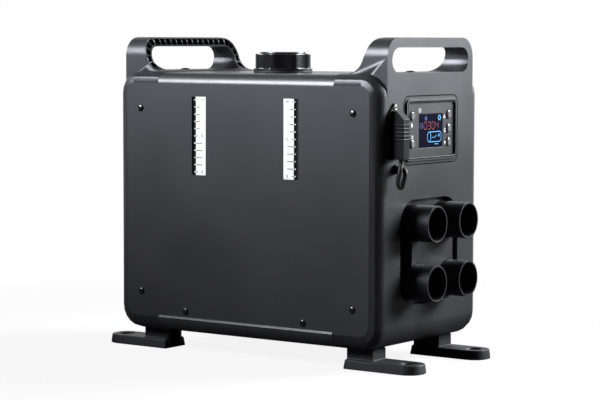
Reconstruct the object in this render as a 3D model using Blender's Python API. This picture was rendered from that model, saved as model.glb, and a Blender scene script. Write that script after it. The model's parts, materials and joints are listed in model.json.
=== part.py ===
"""Portable diesel parking heater in a carry case.

Metres, +Z up. +X is the end with the controller and the four warm air outlets, -Y is the
front with the two fuel gauges. The origin is on the floor under the middle of the case.
Every object is one real piece of the heater.
"""

import math

import bmesh
import bpy
from mathutils import Matrix, Vector

# Running gap between pieces that touch
GAP = 0.0003

# Case
BODY_WIDTH = 0.378
BODY_DEPTH = 0.212
BODY_HEIGHT = 0.3097
BODY_LIFT = 0.0248
CORNER_RADIUS = 0.0265
EDGE_RADIUS = 0.0135
LOW_SAG = 0.0027
SHELL_WALL = 0.003
SEAM_INSET = 0.062
JOINT_LIP = 0.012
JOINT_RIB = 0.005
LIP_WALL = 0.002

# Sheet covers
SHEET = 0.0018
COVER_DROP = 0.0010
TOP_JOINT_Y = 0.045
BOTTOM_JOINT_Y = 0.045
SCREW_INSET = 0.0355
SCREW_TOP_Z = 0.2906
SCREW_LOW_Z = 0.0708
FLOOR_SCREW_INSET = 0.0267
FLOOR_SCREW_Z = 0.0507
SCREW_HEAD = 0.0065
SCREW_RISE = 0.0022
SCREW_SHANK = 0.0032
SCREW_LENGTH = 0.011
WINDOW_INSET = 0.023
WINDOW_LOW = 0.084
WINDOW_HIGH = 0.277
WINDOW_CORNER = 0.006
TOP_SCREW_INSET = 0.024
TOP_SCREW_Y = -0.0065
TOP_SCREW_HEAD = 0.009

# Handles
HANDLE_TOP = 0.375
HANDLE_INSET = 0.015
HANDLE_CORNER = 0.022
HANDLE_LAND = 0.0185
NOSE_RADIUS = 0.008
SLANT_DEGREES = 70
TOE_RADIUS = 0.022
GRIP_INSET = 0.0097
GRIP_LOW = 0.3353
GRIP_HIGH = 0.3638
HANDLE_SKIN = 0.0038
HANDLE_WALL = 0.002
RIB_PITCH = 0.0105
RIB = 0.0014
LEG_CELLS = 5
LEG_START = -36
LEG_END = 84
LEG_RIB_TURN = 3.4

# Gauges and tank
TANK_X = 0.0015
GAUGE_X = 0.0664
GAUGE_LOW = 0.2134
GAUGE_HIGH = 0.3053
SLOT_WIDTH = 0.0062
SCALE_WIDTH = 0.0150
SCALE_THICK = 0.0006
SIGHT_THICK = 0.0015
TANK_WIDTH = 0.189
TANK_BACK = 0.068
TANK_BOTTOM = 0.2002
TANK_TOP = 0.3285
TANK_WALL = 0.0025
TANK_CORNER = 0.012
TANK_EDGE = 0.006
OUTLET_LENGTH = 0.010
OUTLET_RADIUS = 0.005
FILLER_Y = -0.030
NECK_RADIUS = 0.025
NECK_BORE = 0.0215
NECK_TOP = 0.350
NIPPLE_X = 0.060
NIPPLE_Y = -0.070

# Fuel cap
CAP_RADIUS = 0.0330
CAP_SCOOPS = 6
CAP_TURN = 9
SCOOP_FLOOR = 0.0286
SCOOP_HALF = 0.0069
SCOOP_FLARE = 5.4
SCOOP_LOW = 0.0042
SCOOP_HIGH = 0.0174
SCOOP_SLOPE = 0.4
CAP_RIM = 0.0350
CAP_RIM_HEIGHT = 0.0018
CAP_HEIGHT = 0.0192
CAP_CHAMFER = 0.0008
CAP_CROWN = 0.0270
CAP_CROWN_RISE = 0.0022
CAP_SKIRT = 0.0165
SEAL_RADIUS = 0.0350
SEAL_THICK = 0.0023

# Controller
PANEL_Z = 0.2704
FRAME_HALF_Y = 0.0537
FRAME_HALF_Z = 0.0351
FRAME_CORNER = 0.006
FRAME_PROUD = 0.002
FRAME_DEPTH = 0.013
FRAME_BAND = 0.004
FRAME_FLANGE = 0.003
FASCIA = 0.0023
FASCIA_DROP = 0.0022
DISPLAY_HALF_Y = 0.025
DISPLAY_HALF_Z = 0.019
DISPLAY_Z = 0.2690
BOARD_THICK = 0.0016
BUTTON_Y = 0.0388
BUTTON_WIDE = 0.009
BUTTON_TALL = 0.011
BUTTON_TRAVEL = 0.0007
KEY_RISE = 0.0013
KEY_LIP = 0.0010
KEY_STEM = 0.0025
BUTTON_TOP_Z = 0.2862
BUTTON_MID_Z = 0.2703
BUTTON_LOW_Z = 0.2545

# Power connector
SOCKET_Y = -0.0783
SOCKET_TOP = 0.2936
SOCKET_LOW = 0.2400
FLANGE_WIDE = 0.027
FLANGE_THICK = 0.002
FLANGE_APEX = 0.3022
FLANGE_TIP = 0.003
SOCKET_WIDE = 0.014
SOCKET_OUT = 0.005
HOOD_WIDE = 0.012
HOOD_OUT = 0.0124
HOOD_SLOPE = 0.0093
GRIP_BARS = 5
GRIP_BAR = 0.0014
GRIP_BAR_LOW = 0.0215
GRIP_BAR_PITCH = 0.0041
GLAND_Y = -0.0753
GLAND_Z = 0.2283
GLAND_SHANK = 0.004
GLAND_NUT = 0.0055
GLAND_REACH = 0.0085
CABLE_RADIUS = 0.0026
LOOP_LOW = 0.2084

# Warm air side
AXIS_Y = -0.0017
AXIS_Z = 0.1319
PORT_PITCH = 0.0673
PORT_RADIUS = 0.021
PORT_WALL = 0.002
PORT_REACH = 0.221
POCKET_HALF_Y = 0.0614
POCKET_HALF_Z = 0.0602
POCKET_CORNER = 0.028
POCKET_DEPTH = 0.007
TRIM_HALF = 0.0438
TRIM_PROUD = 0.0042
DUCT_HALF = 0.060
DUCT_CORNER = 0.040
DUCT_WALL = 0.0025
DUCT_END = 0.138
SLEEVE_OVERLAP = 0.010
SADDLE_LEFT = -0.100
SADDLE_RIGHT = 0.095
SADDLE_WIDE = 0.018

# Heater
EXCHANGER_CORE = 0.034
EXCHANGER_FIN = 0.052
FIN_COUNT = 16
FIN_THICK = 0.0024
EXCHANGER_START = -0.0307
EXCHANGER_END = 0.125
BURNER_RADIUS = 0.037
BURNER_LENGTH = 0.030
BURNER_FLANGE = 0.006
PLUG_LENGTH = 0.017
PLUG_RADIUS = 0.004
WHEEL_RADIUS = 0.022
WHEEL_WIDE = 0.007
WHEEL_VANES = 6
WHEEL_CLEAR = 0.001
MOTOR_RADIUS = 0.027
MOTOR_START = -0.115
MOTOR_END = -0.0715
SPIDER_ARM = 0.008
FAN_START = -0.145
FAN_WIDE = 0.020
FAN_HUB = 0.016
FAN_RADIUS = 0.053
FAN_BLADES = 7
FAN_PITCH = 35
BLADE_THICK = 0.0018
SHAFT_RADIUS = 0.0028
INTAKE_RADIUS = 0.052
GRILLE_RINGS = 3
GRILLE_HUB = 0.011
GRILLE_BAR = 0.0026
GRILLE_RIM = 0.002
EXHAUST_X = 0.060
EXHAUST_RADIUS = 0.012
AIR_X = -0.0455
AIR_RADIUS = 0.011
PIPE_END_Z = 0.014
PIPE_WALL = 0.0015

# Floor plate, shelf, pump and control unit
PLATE = 0.002
PLATE_INSET = 0.003
PLATE_EAR = 0.012
SHELF_HALF_X = 0.078
SHELF_INSET = 0.013
SHELF_SHEET = 0.0015
SHELF_MARGIN = 0.016
PUMP_RADIUS = 0.014
PUMP_X = 0.010
PUMP_Y = -0.062
PUMP_Z = 0.052
PUMP_HALF = 0.034
PUMP_SPOUT = 0.008
SPOUT_RADIUS = 0.003
UNIT_X = -0.040
UNIT_INSET = 0.010
UNIT_LONG = 0.070
UNIT_WIDE = 0.046
UNIT_TALL = 0.022
LINE_RADIUS = 0.0025

# Feet
FOOT_INSET = 0.0595
FOOT_REACH = 0.0362
FOOT_INSET_Y = 0.0356
FOOT_WIDE = 0.0387
FOOT_THICK = 0.011
FOOT_DRAFT = 0.0015
FOOT_ROUND = 0.0175
BLOCK_LONG = 0.0355
BLOCK_WIDE = 0.028
STUD_RADIUS = 0.006
FOOT_HOLE = 0.008
FOOT_HOLE_OUT = 0.017
FOOT_SINK = 0.002
NOTCH_WIDE = 0.015
NOTCH_DEEP = 0.013
NOTCH_TALL = 0.019

# Smoothness
ARC_STEPS = 5
EDGE_STEPS = 3
ROUND = 24
SMALL_ROUND = 10
TINY_ROUND = 8
HIDDEN_STEPS = 2

# Places that follow from the sizes above
HALF_W = BODY_WIDTH / 2
HALF_D = BODY_DEPTH / 2
SEAM_X = HALF_W - SEAM_INSET
SCREW_X = HALF_W - SCREW_INSET
TOP_SCREW_X = HALF_W - TOP_SCREW_INSET
WINDOW_REACH = HALF_W - WINDOW_INSET
HANDLE_HALF = HALF_D - HANDLE_INSET
GRIP_HALF = HANDLE_HALF - GRIP_INSET
PLATE_REACH_X = SEAM_X - PLATE_INSET
PLATE_HALF_X = PLATE_REACH_X - PLATE_EAR
FLOOR_SCREW_X = PLATE_HALF_X - FLOOR_SCREW_INSET
SHELF_HALF_Y = HALF_D - SHELF_INSET
UNIT_Y = SHELF_HALF_Y - UNIT_INSET - UNIT_WIDE / 2
FOOT_IN = HALF_W - FOOT_INSET
FOOT_OUT = HALF_W + FOOT_REACH
FOOT_Y = HALF_D - FOOT_INSET_Y
FOOT_HOLE_X = HALF_W + FOOT_HOLE_OUT
BODY_TOP = BODY_LIFT + BODY_HEIGHT
COVER_TOP = BODY_TOP - COVER_DROP
PANEL_HALF = HALF_W - EDGE_RADIUS
PANEL_LOW = BODY_LIFT + EDGE_RADIUS + LOW_SAG
PANEL_HIGH = BODY_TOP - EDGE_RADIUS
PANEL_CORNER = CORNER_RADIUS - EDGE_RADIUS
LEDGE_Y = HALF_D - SHEET - GAP
SIDE_INNER = HALF_W - SHELL_WALL
FLOOR_TOP = BODY_LIFT + SHEET + GAP + LIP_WALL + GAP + PLATE
PORT_PLATE_X = HALF_W - POCKET_DEPTH
TANK_FRONT = -(LEDGE_Y - SIGHT_THICK - GAP)
NECK_BASE = COVER_TOP + GAP

parts = []


def clear_scene():
    """Remove what the file opened with."""
    for item in list(bpy.data.objects):
        bpy.data.objects.remove(item, do_unlink=True)


def finish(name, colour, roughness, metallic=0.0):
    """A Principled material for one kind of surface."""
    found = bpy.data.materials.get(name)
    if found:
        return found
    made = bpy.data.materials.new(name)
    made.use_nodes = True
    shader = made.node_tree.nodes["Principled BSDF"]
    shader.inputs["Base Color"].default_value = (*colour, 1.0)
    shader.inputs["Roughness"].default_value = roughness
    shader.inputs["Metallic"].default_value = metallic
    made.diffuse_color = (*colour, 1.0)
    return made


def make_object(name, bm):
    """Turn a bmesh into an object with its faces pointing out."""
    bmesh.ops.remove_doubles(bm, verts=bm.verts, dist=1e-6)
    bmesh.ops.recalc_face_normals(bm, faces=bm.faces)
    mesh = bpy.data.meshes.new(name)
    bm.to_mesh(mesh)
    bm.free()
    made = bpy.data.objects.new(name, mesh)
    bpy.context.scene.collection.objects.link(made)
    return made


def combine(target, tool, operation):
    """Apply one exact Boolean and remove the tool."""
    modifier = target.modifiers.new(operation, "BOOLEAN")
    modifier.operation = operation
    modifier.solver = "EXACT"
    modifier.object = tool
    graph = bpy.context.evaluated_depsgraph_get()
    result = bpy.data.meshes.new_from_object(target.evaluated_get(graph))
    target.modifiers.clear()
    old = target.data
    target.data = result
    bpy.data.meshes.remove(old)
    bpy.data.objects.remove(tool, do_unlink=True)
    return target


def add(target, bm):
    """Join a solid to the target."""
    return combine(target, make_object("tool", bm), "UNION")


def cut(target, bm):
    """Cut a solid out of the target."""
    return combine(target, make_object("tool", bm), "DIFFERENCE")


def complete(piece, material, place=(0, 0, 0), turn=(0, 0, 0), sharp=30):
    """Clean a finished piece, give it its material and put it in the heater."""
    bm = bmesh.new()
    bm.from_mesh(piece.data)
    bmesh.ops.remove_doubles(bm, verts=bm.verts, dist=2e-6)
    bmesh.ops.dissolve_degenerate(bm, edges=bm.edges, dist=2e-6)
    bm.to_mesh(piece.data)
    bm.free()
    piece.data.materials.clear()
    piece.data.materials.append(material)
    piece.data.shade_smooth()
    piece.data.set_sharp_from_angle(angle=math.radians(sharp))
    piece.location = place
    piece.rotation_euler = [math.radians(angle) for angle in turn]
    parts.append(piece)
    return piece


def copy_of(piece, name, place, turn=(0, 0, 0)):
    """Another piece on the same mesh."""
    made = bpy.data.objects.new(name, piece.data)
    bpy.context.scene.collection.objects.link(made)
    made.location = place
    made.rotation_euler = [math.radians(angle) for angle in turn]
    parts.append(made)
    return made


def arc(centre, radius, start, end, steps, tall=None):
    """Points along an arc, its angles in degrees; tall is its upright radius if it differs."""
    points = []
    for step in range(steps + 1):
        angle = math.radians(start + (end - start) * step / steps)
        rise = (tall or radius) * math.sin(angle)
        points.append((centre[0] + radius * math.cos(angle), centre[1] + rise))
    return points


def rounded_rect(left, right, low, high, radius, steps=ARC_STEPS):
    """Outline of a rectangle with round corners, anticlockwise."""
    points = arc((right - radius, low + radius), radius, -90, 0, steps)
    points += arc((right - radius, high - radius), radius, 0, 90, steps)
    points += arc((left + radius, high - radius), radius, 90, 180, steps)
    points += arc((left + radius, low + radius), radius, 180, 270, steps)
    return points


def circle(centre, radius, steps=ROUND):
    """Outline of a circle."""
    return arc(centre, radius, 0, 360 - 360 / steps, steps - 1)


def along(axis, first, second, depth):
    """A point from its two outline values and its place along the axis."""
    if axis == "X":
        return Vector((depth, first, second))
    if axis == "Y":
        return Vector((first, depth, second))
    return Vector((first, second, depth))


def prism(outline, axis, start, end, bm=None):
    """A closed prism of an outline, straight along one axis."""
    bm = bm or bmesh.new()
    ends = []
    for depth in (start, end):
        ends.append([bm.verts.new(along(axis, a, b, depth)) for a, b in outline])
    bm.faces.new(ends[0])
    bm.faces.new(list(reversed(ends[1])))
    count = len(outline)
    for index in range(count):
        after = (index + 1) % count
        bm.faces.new((ends[0][index], ends[1][index], ends[1][after], ends[0][after]))
    return bm


def box(low, high, bm=None):
    """A plain box between two corners."""
    outline = [(low[0], low[1]), (high[0], low[1]), (high[0], high[1]), (low[0], high[1])]
    return prism(outline, "Z", low[2], high[2], bm)


def turned(profile, axis, centre, steps=ROUND, bm=None):
    """A ring turned from a closed profile of (place along the axis, radius)."""
    bm = bm or bmesh.new()
    line = along(axis, 0, 0, 1)
    side = Vector((0, 0, 1)) if axis == "X" else Vector((1, 0, 0))
    middle = Vector(centre)
    points = [bm.verts.new(middle + line * place + side * radius) for place, radius in profile]
    edges = [bm.edges.new(pair) for pair in zip(points, points[1:] + points[:1])]
    bmesh.ops.spin(bm, geom=points + edges, cent=middle, axis=line, angle=2 * math.pi, steps=steps,
                   use_merge=True, use_duplicate=False)
    return bm


def spindle(profile, axis, centre, steps=ROUND, bm=None):
    """A solid round piece from its (place along the axis, radius) steps, flat at both ends."""
    bm = bm or bmesh.new()
    middle = Vector(centre)
    loops = []
    for place, radius in profile:
        ring = circle((0, 0), radius, steps)
        loops.append([bm.verts.new(middle + along(axis, a, b, place)) for a, b in ring])
    for near, far in zip(loops, loops[1:]):
        for index in range(steps):
            after = (index + 1) % steps
            bm.faces.new((near[index], far[index], far[after], near[after]))
    bm.faces.new(loops[0])
    bm.faces.new(list(reversed(loops[-1])))
    return bm


def block(half_x, half_y, low, high, corner, edge, centre=(0, 0), steps=ARC_STEPS,
          rolls=EDGE_STEPS, sag=0.0):
    """A box with round corners along Y and rolled front and rear edges, deeper by sag below."""
    bm = bmesh.new()
    rings = []
    for step in range(rolls + 1):
        turn = math.radians(90 * step / rolls)
        rings.append((edge * (1 - math.sin(turn)), -half_y + edge * (1 - math.cos(turn))))
    rings += [(inset, -y) for inset, y in reversed(rings)]
    loops = []
    for inset, y in rings:
        outline = rounded_rect(centre[0] - half_x + inset, centre[0] + half_x - inset,
                               low + inset, high - inset, corner - inset, steps)
        outline = [(x, z + sag * inset / edge if z < (low + high) / 2 else z) for x, z in outline]
        loops.append([bm.verts.new((x, centre[1] + y, z)) for x, z in outline])
    count = len(loops[0])
    for near, far in zip(loops, loops[1:]):
        for index in range(count):
            after = (index + 1) % count
            bm.faces.new((near[index], far[index], far[after], near[after]))
    bm.faces.new(loops[0])
    bm.faces.new(list(reversed(loops[-1])))
    return bm


def trim(bm, x, keep):
    """Cut a solid at X and close it, keeping the +1 or the -1 side."""
    geometry = list(bm.verts) + list(bm.edges) + list(bm.faces)
    bmesh.ops.bisect_plane(bm, geom=geometry, plane_co=(x, 0, 0), plane_no=(keep, 0, 0),
                           clear_inner=True)
    rim = [item for item in bm.edges if item.is_boundary]
    bmesh.ops.holes_fill(bm, edges=rim, sides=0)
    return bm


def between(bm, first, second):
    """The slice of a solid between two X places."""
    return trim(trim(bm, min(first, second), 1), max(first, second), -1)


def smooth_route(points, spacing):
    """Evenly spaced points on a smooth curve through the given ones, its end runs straight."""
    spots = [Vector(point) for point in points]
    fine = []
    for index in range(1, len(spots) - 2):
        p0, p1, p2, p3 = spots[index - 1:index + 3]
        for step in range(16):
            t = step / 16
            fine.append(0.5 * (2 * p1 + (p2 - p0) * t + (2 * p0 - 5 * p1 + 4 * p2 - p3) * t * t
                               + (3 * p1 - p0 - 3 * p2 + p3) * t ** 3))
    fine.append(spots[-2])
    length = sum((b - a).length for a, b in zip(fine, fine[1:]))
    count = max(2, round(length / spacing))
    kept = [spots[0], fine[0]]
    walked = 0.0
    for a, b in zip(fine, fine[1:]):
        walked += (b - a).length
        if walked >= length * (len(kept) - 1) / count and len(kept) <= count:
            kept.append(b)
    return kept + [fine[-1], spots[-1]]


def tube(name, points, radius, spacing, material):
    """A round tube along a smooth route."""
    curve = bpy.data.curves.new(name, "CURVE")
    curve.dimensions = "3D"
    curve.bevel_depth = radius
    curve.bevel_resolution = 2
    curve.use_fill_caps = True
    route = smooth_route(points, spacing)
    spline = curve.splines.new("POLY")
    spline.points.add(len(route) - 1)
    for spot, point in zip(spline.points, route):
        spot.co = (*point, 1.0)
    curve.materials.append(material)
    made = bpy.data.objects.new(name, curve)
    bpy.context.scene.collection.objects.link(made)
    parts.append(made)
    return made


PLASTIC = finish("case plastic", (0.035, 0.036, 0.039), 0.48)
SHEET_METAL = finish("painted sheet", (0.030, 0.031, 0.034), 0.36, 0.2)
BLACK = finish("black plastic", (0.010, 0.010, 0.011), 0.35)
GLOSS = finish("gloss black", (0.008, 0.008, 0.009), 0.16)
RUBBER = finish("black rubber", (0.012, 0.012, 0.012), 0.65)
SCREW = finish("black steel screw", (0.02, 0.02, 0.022), 0.25, 0.8)
STEEL = finish("plated steel", (0.45, 0.45, 0.46), 0.35, 1.0)
CAST = finish("cast aluminium", (0.55, 0.56, 0.57), 0.45, 1.0)
TANK_PLASTIC = finish("natural tank plastic", (0.62, 0.60, 0.54), 0.5)
SCALE_WHITE = finish("white scale", (0.85, 0.85, 0.85), 0.5)
SIGHT = finish("dark sight strip", (0.02, 0.02, 0.022), 0.2)
KEY = finish("dark key", (0.10, 0.10, 0.11), 0.35)
GLASS = finish("display glass", (0.01, 0.02, 0.05), 0.08)
BOARD = finish("circuit board", (0.02, 0.12, 0.05), 0.5)
CABLE = finish("cable sheath", (0.012, 0.012, 0.013), 0.5)


def handle_side():
    """Outline of a handle seen from the front, for the right-hand end."""
    slope = math.radians(SLANT_DEGREES)
    nose = (HALF_W - HANDLE_LAND, HANDLE_TOP - NOSE_RADIUS)
    outline = [(HALF_W, HANDLE_TOP)]
    outline += arc(nose, NOSE_RADIUS, 90, 90 + SLANT_DEGREES, EDGE_STEPS)
    drop = outline[-1][1] - (BODY_TOP + TOE_RADIUS * (1 - math.cos(slope)))
    toe_x = outline[-1][0] - drop / math.tan(slope)
    toe = (toe_x - TOE_RADIUS * math.sin(slope), BODY_TOP + TOE_RADIUS)
    outline += arc(toe, TOE_RADIUS, -90 + SLANT_DEGREES, -90, ARC_STEPS)
    root = SHELL_WALL / 2
    middle = (HALF_W - CORNER_RADIUS, BODY_TOP - CORNER_RADIUS)
    outline.append((toe[0], BODY_TOP - root))
    outline += arc(middle, CORNER_RADIUS - root, 90, 0, EDGE_STEPS)
    outline.append((HALF_W, BODY_TOP - CORNER_RADIUS))
    return outline


def handle_front():
    """Outline of a handle seen from its end."""
    points = [(-HANDLE_HALF, BODY_TOP - CORNER_RADIUS - SHELL_WALL)]
    points += [(HANDLE_HALF, BODY_TOP - CORNER_RADIUS - SHELL_WALL)]
    top = HANDLE_TOP - HANDLE_CORNER
    points += arc((HANDLE_HALF - HANDLE_CORNER, top), HANDLE_CORNER, 0, 90, ARC_STEPS)
    points += arc((-HANDLE_HALF + HANDLE_CORNER, top), HANDLE_CORNER, 90, 180, ARC_STEPS)
    return points


def leg_cell(start, end):
    """One cell of a handle leg, between the ring round the grip and the outer wall."""
    grip = (GRIP_HIGH - GRIP_LOW) / 2
    middle = (GRIP_HALF - grip, GRIP_LOW + grip)
    inner = arc(middle, grip + HANDLE_WALL, start, end, 1)
    reach_y = HANDLE_HALF - HANDLE_WALL - middle[0]
    reach_up = HANDLE_TOP - HANDLE_WALL - middle[1]
    reach_down = middle[1] - GRIP_LOW - HANDLE_WALL / 4
    bend = HANDLE_CORNER - HANDLE_WALL
    outer = []
    for step in range(3):
        angle = math.radians(end + (start - end) * step / 2)
        ray = Vector((math.cos(angle), math.sin(angle)))
        reach = reach_y / max(ray.x, 1e-6)
        if ray.y > 0:
            reach = min(reach, reach_up / ray.y)
        elif ray.y < 0:
            reach = min(reach, reach_down / -ray.y)
        spot = ray * reach
        hub = Vector((reach_y - bend, reach_up - bend))
        if spot.x > hub.x and spot.y > hub.y:
            along_ray = hub.dot(ray)
            spot = ray * (along_ray + math.sqrt(bend ** 2 - hub.length_squared + along_ray ** 2))
        outer.append((middle[0] + spot.x, middle[1] + spot.y))
    return inner + outer


def handle_cells():
    """The open cells between the ribs on a handle's inner side."""
    floor = HALF_W - HANDLE_SKIN
    start = HALF_W - BODY_WIDTH / 4
    low = GRIP_HIGH + HANDLE_WALL
    high = HANDLE_TOP - HANDLE_WALL
    half = (RIB_PITCH - RIB) / 2
    count = int((GRIP_HALF - (GRIP_HIGH - GRIP_LOW) / 2) / RIB_PITCH)
    bm = bmesh.new()
    for step in range(-count, count + 1):
        middle = step * RIB_PITCH
        outline = [(middle - half, low), (middle + half, low), (middle + half, high)]
        prism(outline + [(middle - half, high)], "X", start, floor, bm)
    turn = (LEG_END - LEG_START) / LEG_CELLS
    for index in range(LEG_CELLS):
        first = LEG_START + index * turn
        cell = leg_cell(first, first + turn - LEG_RIB_TURN)
        prism(cell, "X", start, floor, bm)
        prism([(-y, z) for y, z in reversed(cell)], "X", start, floor, bm)
    return bm


def end_shell_form():
    """The right-hand end shell without its own openings."""
    form = block(HALF_W, HALF_D, BODY_LIFT, BODY_TOP, CORNER_RADIUS, EDGE_RADIUS, sag=LOW_SAG)
    shell = make_object("shell", trim(form, SEAM_X + GAP / 2, 1))
    lip_low = BODY_LIFT + SHEET + GAP
    lip_high = COVER_TOP - SHEET - GAP
    lip_start = SEAM_X - JOINT_LIP
    rib_end = SEAM_X + JOINT_RIB
    lip = block(HALF_W, LEDGE_Y, lip_low, lip_high, CORNER_RADIUS - SHEET, EDGE_RADIUS - SHEET,
                sag=LOW_SAG)
    add(shell, between(lip, lip_start, rib_end - JOINT_RIB / 2))
    handle = make_object("handle", prism(handle_side(), "Y", -BODY_DEPTH, BODY_DEPTH))
    combine(handle, make_object("outline", prism(handle_front(), "X", 0, BODY_WIDTH)),
            "INTERSECT")
    combine(shell, handle, "UNION")
    inner = block(SIDE_INNER, LEDGE_Y - SHELL_WALL, BODY_LIFT + SHELL_WALL,
                  BODY_TOP - SHELL_WALL, CORNER_RADIUS - SHELL_WALL, EDGE_RADIUS - 2 * SHELL_WALL,
                  steps=3, rolls=HIDDEN_STEPS, sag=LOW_SAG)
    cut(shell, trim(inner, rib_end, 1))
    mouth = block(HALF_W, LEDGE_Y - SHELL_WALL, lip_low + LIP_WALL, lip_high - LIP_WALL,
                  CORNER_RADIUS - SHELL_WALL, EDGE_RADIUS - 2 * SHELL_WALL,
                  steps=3, rolls=HIDDEN_STEPS, sag=LOW_SAG)
    cut(shell, between(mouth, lip_start - JOINT_RIB, rib_end + JOINT_RIB))
    grip = (GRIP_HIGH - GRIP_LOW) / 2
    cut(shell, prism(rounded_rect(-GRIP_HALF, GRIP_HALF, GRIP_LOW, GRIP_HIGH, grip - 1e-5, 6),
                     "X", SEAM_X / 2, BODY_WIDTH))
    cut(shell, handle_cells())
    recess = rounded_rect(-PANEL_HALF - GAP, PANEL_HALF + GAP, PANEL_LOW - GAP,
                          PANEL_HIGH + GAP, PANEL_CORNER + GAP)
    cut(shell, both_faces(recess, LEDGE_Y, BODY_DEPTH))
    window = rounded_rect(lip_start - JOINT_RIB, WINDOW_REACH, WINDOW_LOW, WINDOW_HIGH,
                          WINDOW_CORNER, HIDDEN_STEPS)
    cut(shell, both_faces(window, LEDGE_Y - 2 * SHELL_WALL, HALF_D))
    back = HALF_D - SCREW_LENGTH - GAP
    for z in (SCREW_LOW_Z, SCREW_TOP_Z):
        boss = circle((SCREW_X, z), SCREW_SHANK / 2 + SHELL_WALL, SMALL_ROUND)
        add(shell, both_faces(boss, LEDGE_Y - SHELL_WALL / 2, back))
        hole = circle((SCREW_X, z), SCREW_SHANK / 2 + GAP, SMALL_ROUND)
        cut(shell, both_faces(hole, HALF_D, back - SHELL_WALL))
    studs = bmesh.new()
    for y in (-FOOT_Y, FOOT_Y):
        prism(circle((foot_stud_x(), y), STUD_RADIUS + GAP, SMALL_ROUND), "Z", 0,
              BODY_LIFT + 2 * SHELL_WALL, studs)
    prism(circle((TOP_SCREW_X, TOP_SCREW_Y), SCREW_SHANK / 2 + GAP, SMALL_ROUND), "Z",
          BODY_TOP - 2 * SHELL_WALL, GRIP_LOW + SHELL_WALL, studs)
    cut(shell, studs)
    return shell


def both_faces(outline, near, far):
    """The same prism at the front and at the rear."""
    bm = bmesh.new()
    for face in (-1, 1):
        prism(outline, "Y", face * near, face * far, bm)
    return bm


def foot_stud_x():
    """Where a foot's stud stands, in the middle of its block."""
    return FOOT_IN + FOOT_DRAFT + BLOCK_LONG / 2


def mirrored(piece, name):
    """The same moulding for the left-hand end."""
    made = bpy.data.objects.new(name, piece.data.copy())
    bpy.context.scene.collection.objects.link(made)
    bm = bmesh.new()
    bm.from_mesh(made.data)
    bmesh.ops.scale(bm, vec=(-1, 1, 1), verts=bm.verts)
    bmesh.ops.reverse_faces(bm, faces=bm.faces)
    bm.to_mesh(made.data)
    bm.free()
    return made


def end_shells():
    """Both plastic ends, each with its ribbed carrying handle."""
    right = end_shell_form()
    right.name = "right_end_shell"
    left = mirrored(right, "left_end_shell")
    frame = rounded_rect(-FRAME_HALF_Y - GAP, FRAME_HALF_Y + GAP, PANEL_Z - FRAME_HALF_Z - GAP,
                         PANEL_Z + FRAME_HALF_Z + GAP, FRAME_CORNER + GAP, 4)
    cut(right, prism(frame, "X", SIDE_INNER - SHELL_WALL, BODY_WIDTH))
    cut(right, prism(pocket_outline(0, 6), "X", SIDE_INNER - SHELL_WALL, BODY_WIDTH))
    hole = circle((GLAND_Y, GLAND_Z), GLAND_SHANK + GAP, 12)
    cut(right, prism(hole, "X", SIDE_INNER - SHELL_WALL, BODY_WIDTH))
    intake = circle((AXIS_Y, AXIS_Z), INTAKE_RADIUS, ROUND)
    cut(left, prism(intake, "X", -BODY_WIDTH, -SIDE_INNER + SHELL_WALL))
    complete(right, PLASTIC)
    complete(left, PLASTIC)


def cover_section(joint_y, low_joint_y):
    """Section of a bent cover for the front, from its top joint to its bottom one."""
    outer = [(joint_y, COVER_TOP)]
    outer += arc((-HALF_D + EDGE_RADIUS, COVER_TOP - EDGE_RADIUS), EDGE_RADIUS, 90, 180, ARC_STEPS)
    outer += arc((-HALF_D + EDGE_RADIUS, PANEL_LOW), EDGE_RADIUS, 180, 270, ARC_STEPS,
                 EDGE_RADIUS + LOW_SAG)
    outer += [(low_joint_y, BODY_LIFT)]
    inner_radius = EDGE_RADIUS - SHEET
    inner = [(low_joint_y, BODY_LIFT + SHEET)]
    inner += arc((-HALF_D + EDGE_RADIUS, PANEL_LOW), inner_radius, 270, 180, ARC_STEPS,
                 inner_radius + LOW_SAG)
    inner += arc((-HALF_D + EDGE_RADIUS, COVER_TOP - EDGE_RADIUS), inner_radius, 180, 90, ARC_STEPS)
    inner += [(joint_y, COVER_TOP - SHEET)]
    return outer + inner


def cover_form(name, joint_y, low_joint_y):
    """A sheet cover for the front: a flat panel whose middle rolls over top and bottom."""
    reach = SEAM_X - GAP / 2
    cover = make_object(name, prism(cover_section(joint_y, low_joint_y), "X", -reach, reach))
    for side in (-1, 1):
        near = reach - SHEET
        outline = [(near, PANEL_LOW)]
        outline += arc((PANEL_HALF - PANEL_CORNER, PANEL_LOW + PANEL_CORNER), PANEL_CORNER,
                       -90, 0, ARC_STEPS)
        outline += arc((PANEL_HALF - PANEL_CORNER, PANEL_HIGH - PANEL_CORNER), PANEL_CORNER,
                       0, 90, ARC_STEPS)
        outline += [(reach, PANEL_HIGH), (reach, COVER_TOP - EDGE_RADIUS),
                    (near, COVER_TOP - EDGE_RADIUS)]
        ear = [(side * x, z) for x, z in outline]
        add(cover, prism(ear, "Y", -HALF_D, -HALF_D + SHEET))
    return cover


def screw_places():
    """The places of the front screws, seen from the front."""
    corner = [(x, z) for z in (SCREW_TOP_Z, SCREW_LOW_Z) for x in (-SCREW_X, SCREW_X)]
    return corner, [(-FLOOR_SCREW_X, FLOOR_SCREW_Z), (FLOOR_SCREW_X, FLOOR_SCREW_Z)]


def drill(cover, places):
    """Screw holes through a front cover."""
    bm = bmesh.new()
    for x, z in places:
        hole = circle((x, z), SCREW_SHANK / 2 + GAP, TINY_ROUND)
        prism(hole, "Y", -BODY_DEPTH, -HALF_D + 2 * SHEET, bm)
    cut(cover, bm)


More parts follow.
